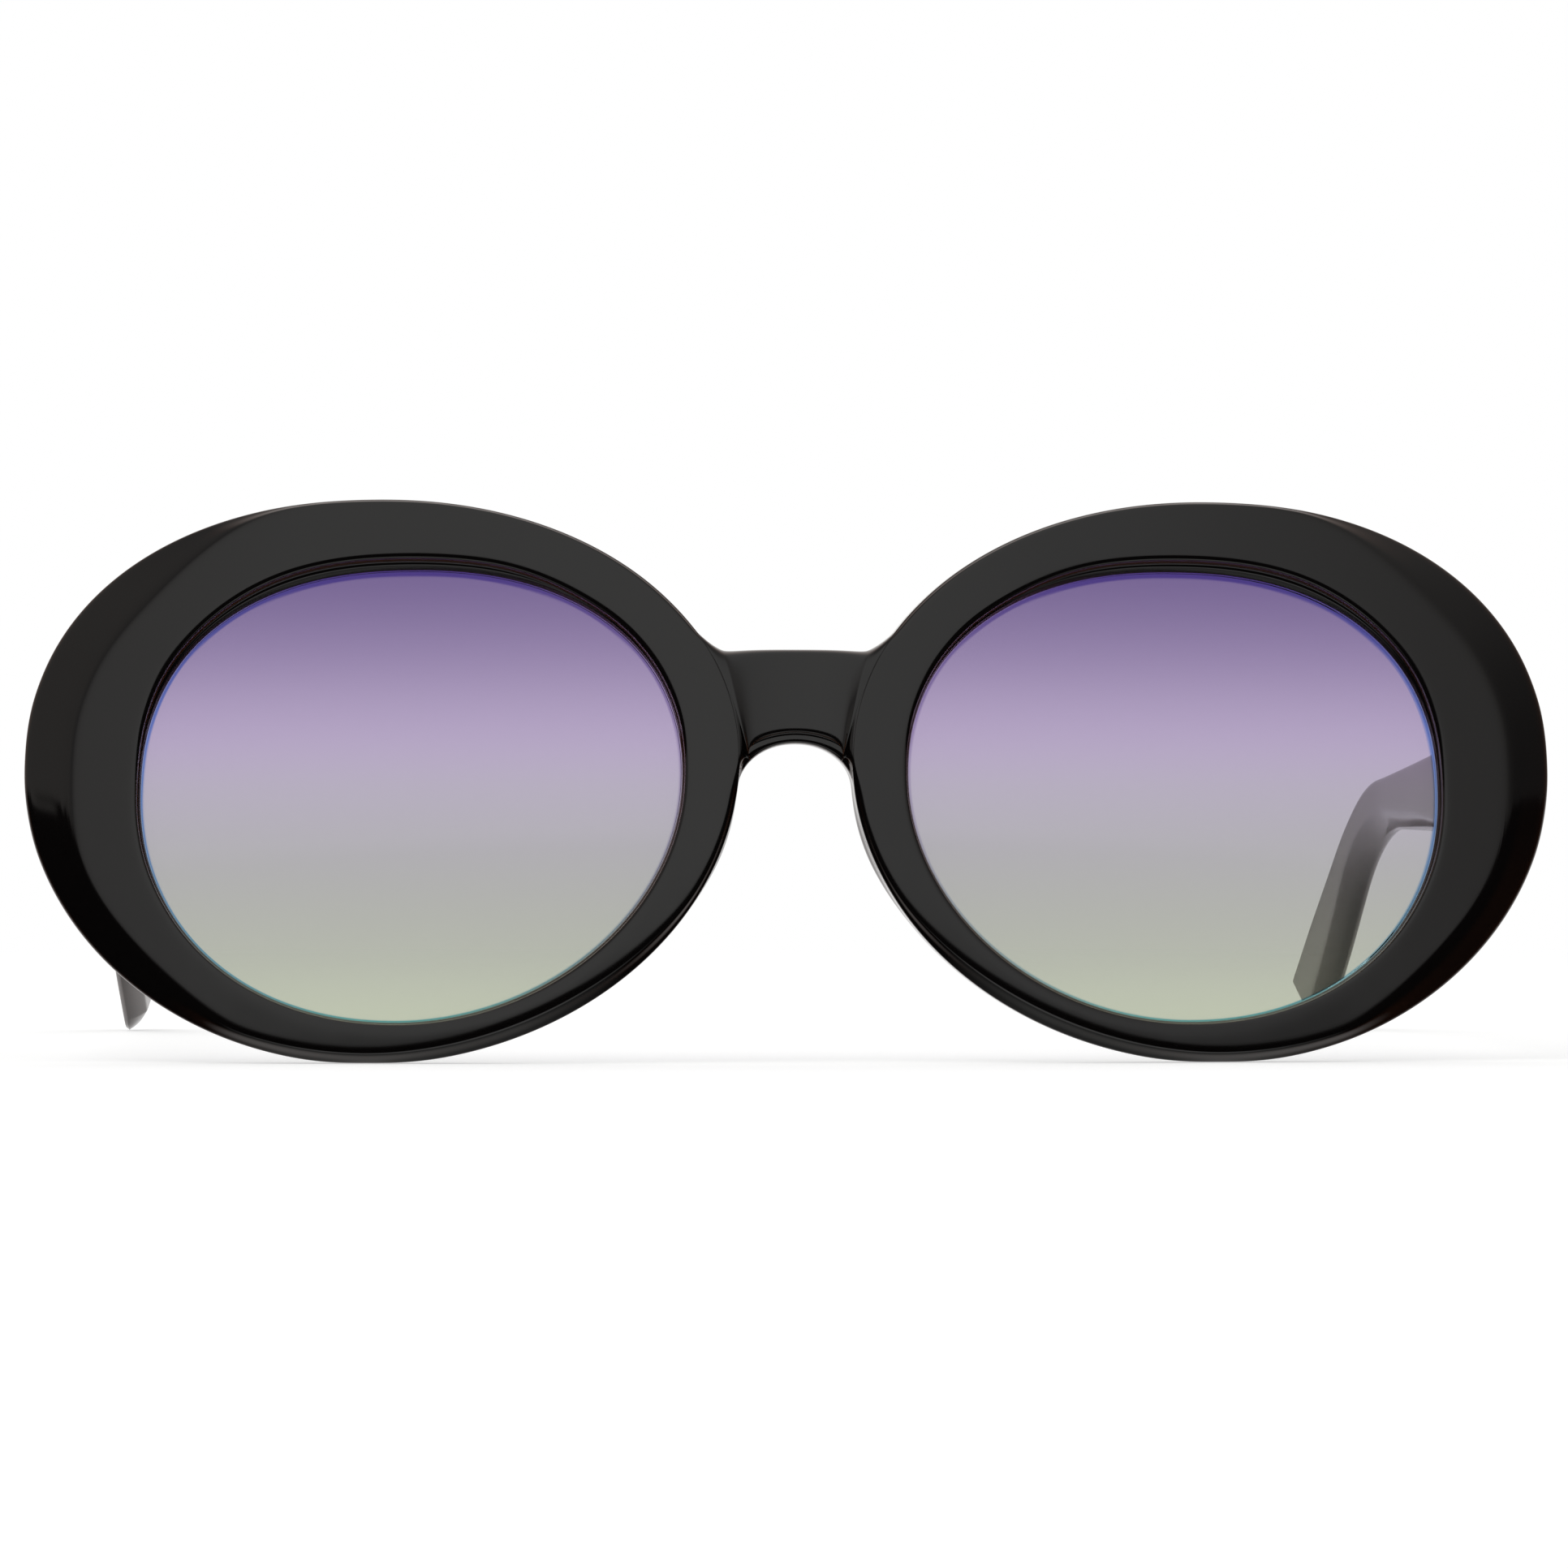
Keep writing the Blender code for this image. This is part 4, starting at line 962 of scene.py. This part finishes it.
studio = {
    "floorRadius": 1800.0, "floorSteps": 96, "floorBelow": 0.05, "floorColour": "#E9E9E8", "floorGlow": 0.5,
    "floorFade": (350.0, 1100.0), "background": "#FFFFFF",
    "aside": ((-1.0, "#ACA8A4"), (-0.78, "#B0ACA8"), (-0.58, "#9C9A99"), (-0.42, "#DCDAD8"), (-0.26, "#F4F4F2"),
              (0.0, "#FAFAF8"), (0.26, "#EAEAE9"), (0.45, "#C8C6C4"), (0.75, "#A8A5A2"), (1.0, "#4E4C4B")),
    "below": ((-180.0, "#FFFFFF"), (-140.0, "#F8F8F6"), (-115.0, "#E6E6E4"), (-97.0, "#C8C8C6"), (-80.0, "#949493"),
              (-71.0, "#A8A8A6"), (-62.0, "#FAFAF8"), (-46.0, "#FAFAF8"), (-36.0, "#181818"), (0.0, "#040404")),
    "belowSides": (0.3, 0.6), "belowDark": "#060505", "backdrop": (0.15, 0.6), "backdropColour": "#FFFFFF",
    "horizon": -1.6, "horizonSoft": 0.4, "horizonRough": 2.6, "raggedAside": (0.35, 0.75), "clutterScale": 14.0,
    "fill": 0.62, "fillColour": "#FFFFFF", "keyPower": 0.9, "keySize": 500.0, "keyPlace": (-350.0, -450.0, 800.0),
}


# Whether a ray comes from the camera, straight or through a lens, and whether a polished face has mirrored it
def seenAndMirrored(tree):
    path = addNode(tree, "ShaderNodeLightPath")
    mirrored = addNode(tree, "ShaderNodeMath", {"operation": "MINIMUM", 1: 1.0}, {0: path.outputs["Glossy Depth"]})
    straight = addNode(
        tree, "ShaderNodeMath", {"operation": "MAXIMUM"},
        {0: path.outputs["Is Camera Ray"], 1: path.outputs["Is Transmission Ray"]},
    )
    seen = addNode(tree, "ShaderNodeMath", {"operation": "SUBTRACT", "use_clamp": True}, {0: straight, 1: mirrored})
    return seen, mirrored


# The floor runs into the white background with distance. Reflections look through it, and the world draws them
def makeFloor():
    made, tree = emptyMaterial("paleStudioFloor")
    seen, mirrored = seenAndMirrored(tree)
    matte = addNode(tree, "ShaderNodeBsdfDiffuse", {"Color": linear(studio["floorColour"])})
    glow = addNode(tree, "ShaderNodeMath", {"operation": "MULTIPLY", 1: studio["floorGlow"]}, {0: seen})
    light = addNode(tree, "ShaderNodeEmission", None, {"Strength": glow})
    near = addNode(tree, "ShaderNodeAddShader", None, {0: matte, 1: light})
    far = addNode(tree, "ShaderNodeEmission", {"Color": linear(studio["background"])})
    here = addNode(tree, "ShaderNodeTexCoord").outputs["Object"]
    away = addNode(tree, "ShaderNodeVectorMath", {"operation": "LENGTH"}, {0: here})
    low, high = [distance * mm for distance in studio["floorFade"]]
    fade = addNode(
        tree, "ShaderNodeMapRange", {"interpolation_type": "SMOOTHSTEP", **between(low, high)},
        {"Value": away.outputs["Value"]},
    )
    fadeSeen = addNode(tree, "ShaderNodeMath", {"operation": "MULTIPLY"}, {0: fade, 1: seen})
    surface = addNode(tree, "ShaderNodeMixShader", None, {0: fadeSeen, 1: near, 2: far})
    clear = addNode(tree, "ShaderNodeBsdfTransparent")
    shown = addNode(tree, "ShaderNodeMixShader", None, {0: mirrored, 1: surface, 2: clear})
    addNode(tree, "ShaderNodeOutputMaterial", None, {"Surface": shown})
    mesh = bpy.data.meshes.new("studioFloor")
    steps, radius = studio["floorSteps"], studio["floorRadius"] * mm
    turns = [2 * math.pi * k / steps for k in range(steps)]
    rim = [(radius * math.cos(turn), radius * math.sin(turn), -studio["floorBelow"] * mm) for turn in turns]
    mesh.from_pydata(rim, [], [tuple(range(steps))])
    mesh.materials.append(made)
    floor = addObject("studioFloor", mesh)


# The world is white to the camera and through the lenses. Polished faces mirror a white room that grows dimmer to
# the sides, darkness under its horizon, the bright table below and the white backdrop behind. Everything else gets
# an even fill
def makeWorld():
    world = bpy.data.worlds.new("whiteStudio")
    bpy.context.scene.world = world
    world.use_nodes = True
    tree = world.node_tree
    tree.nodes.clear()
    seen, mirrored = seenAndMirrored(tree)
    towards = addNode(tree, "ShaderNodeTexCoord").outputs["Generated"]
    direction = addNode(tree, "ShaderNodeSeparateXYZ", None, {"Vector": towards})
    room = rampOver(tree, direction.outputs["X"], studio["aside"])

    # The horizon is straight ahead and ragged to the sides
    clutter = addNode(
        tree, "ShaderNodeTexNoise", {"Scale": studio["clutterScale"], "Detail": 5.0, "Roughness": 0.6},
        {"Vector": towards},
    )
    centred = addNode(tree, "ShaderNodeMath", {"operation": "SUBTRACT", 1: 0.5}, {0: clutter})
    aside = addNode(tree, "ShaderNodeMath", {"operation": "ABSOLUTE"}, {0: direction.outputs["X"]})
    toSide = addNode(tree, "ShaderNodeMapRange", between(*studio["raggedAside"]), {"Value": aside})
    ragged = addNode(tree, "ShaderNodeMath", {"operation": "MULTIPLY"}, {0: centred, 1: toSide})
    rough = math.sin(math.radians(studio["horizonRough"])) * 4  # the noise keeps within a quarter of its middle
    height = addNode(
        tree, "ShaderNodeMath", {"operation": "MULTIPLY_ADD", 1: rough}, {0: ragged, 2: direction.outputs["Z"]}
    )
    low = math.sin(math.radians(studio["horizon"] - studio["horizonSoft"]))
    high = math.sin(math.radians(studio["horizon"] + studio["horizonSoft"]))
    upper = addNode(tree, "ShaderNodeMapRange", between(low, high), {"Value": height})

    # Below it, by the angle down from straight ahead, through straight down and on to the backdrop
    ahead = addNode(tree, "ShaderNodeMath", {"operation": "MULTIPLY", 1: -1.0}, {0: direction.outputs["Y"]})
    downward = addNode(tree, "ShaderNodeMath", {"operation": "ARCTAN2"}, {0: direction.outputs["Z"], 1: ahead})
    ground = rampOver(tree, downward, [(math.radians(at), code) for at, code in studio["below"]])
    inFront = addNode(
        tree, "ShaderNodeMapRange", {**between(*studio["belowSides"]), "To Min": 1.0, "To Max": 0.0}, {"Value": aside}
    )
    table = addNode(
        tree, "ShaderNodeMix", {"data_type": "RGBA", 6: linear(studio["belowDark"])}, {0: inFront, 7: ground}
    )
    behind = addNode(tree, "ShaderNodeMapRange", between(*studio["backdrop"]), {"Value": direction.outputs["Y"]})
    lower = addNode(
        tree, "ShaderNodeMix", {"data_type": "RGBA", 7: linear(studio["backdropColour"])},
        {0: behind, 6: table.outputs[2]},
    )
    around = addNode(tree, "ShaderNodeMix", {"data_type": "RGBA"}, {0: upper, 6: lower.outputs[2], 7: room})
    fill = addNode(tree, "ShaderNodeBackground", {"Strength": studio["fill"], "Color": linear(studio["fillColour"])})
    gloss = addNode(tree, "ShaderNodeBackground", None, {"Color": around.outputs[2]})
    plain = addNode(tree, "ShaderNodeBackground", {"Color": linear(studio["background"])})
    inner = addNode(tree, "ShaderNodeMixShader", None, {0: mirrored, 1: fill, 2: gloss})
    outer = addNode(tree, "ShaderNodeMixShader", None, {0: seen, 1: inner, 2: plain})
    addNode(tree, "ShaderNodeOutputWorld", None, {"Surface": outer})


def makeLight():
    lamp = bpy.data.lights.new("softKey", "AREA")
    lamp.shape = "DISK"
    lamp.size = studio["keySize"] * mm
    lamp.energy = studio["keyPower"]
    made = addObject("softKey", lamp)
    made.location = Vector(studio["keyPlace"]) * mm
    made.rotation_euler = (-made.location).to_track_quat("-Z", "Y").to_euler()
    made.visible_glossy = False
    made.visible_camera = False


view = {"azimuth": -3.0, "elevation": -1.0, "distance": 600.0, "target": (-1.03, 3.0, 27.0), "frameWidth": 152.0,
        "sensor": 36.0, "clip": (50.0, 20000.0)}


def makeCamera():
    lensData = bpy.data.cameras.new("photographView")
    lensData.sensor_width = view["sensor"]
    lensData.lens = view["sensor"] * view["distance"] / view["frameWidth"]
    lensData.clip_start, lensData.clip_end = [distance * mm for distance in view["clip"]]
    made = addObject("photographView", lensData)
    azimuth, elevation = math.radians(view["azimuth"]), math.radians(view["elevation"])
    away = Vector((
        math.sin(azimuth) * math.cos(elevation), -math.cos(azimuth) * math.cos(elevation), math.sin(elevation),
    ))
    target = Vector(view["target"]) * mm + Vector((0, faceY, 0))
    made.location = target + away * view["distance"] * mm
    made.rotation_euler = (-away).to_track_quat("-Z", "Y").to_euler()
    bpy.context.scene.camera = made


makeFloor()
makeWorld()
makeLight()
makeCamera()
bpy.context.scene.view_settings.view_transform = "Standard"
print("floor, light and camera placed")
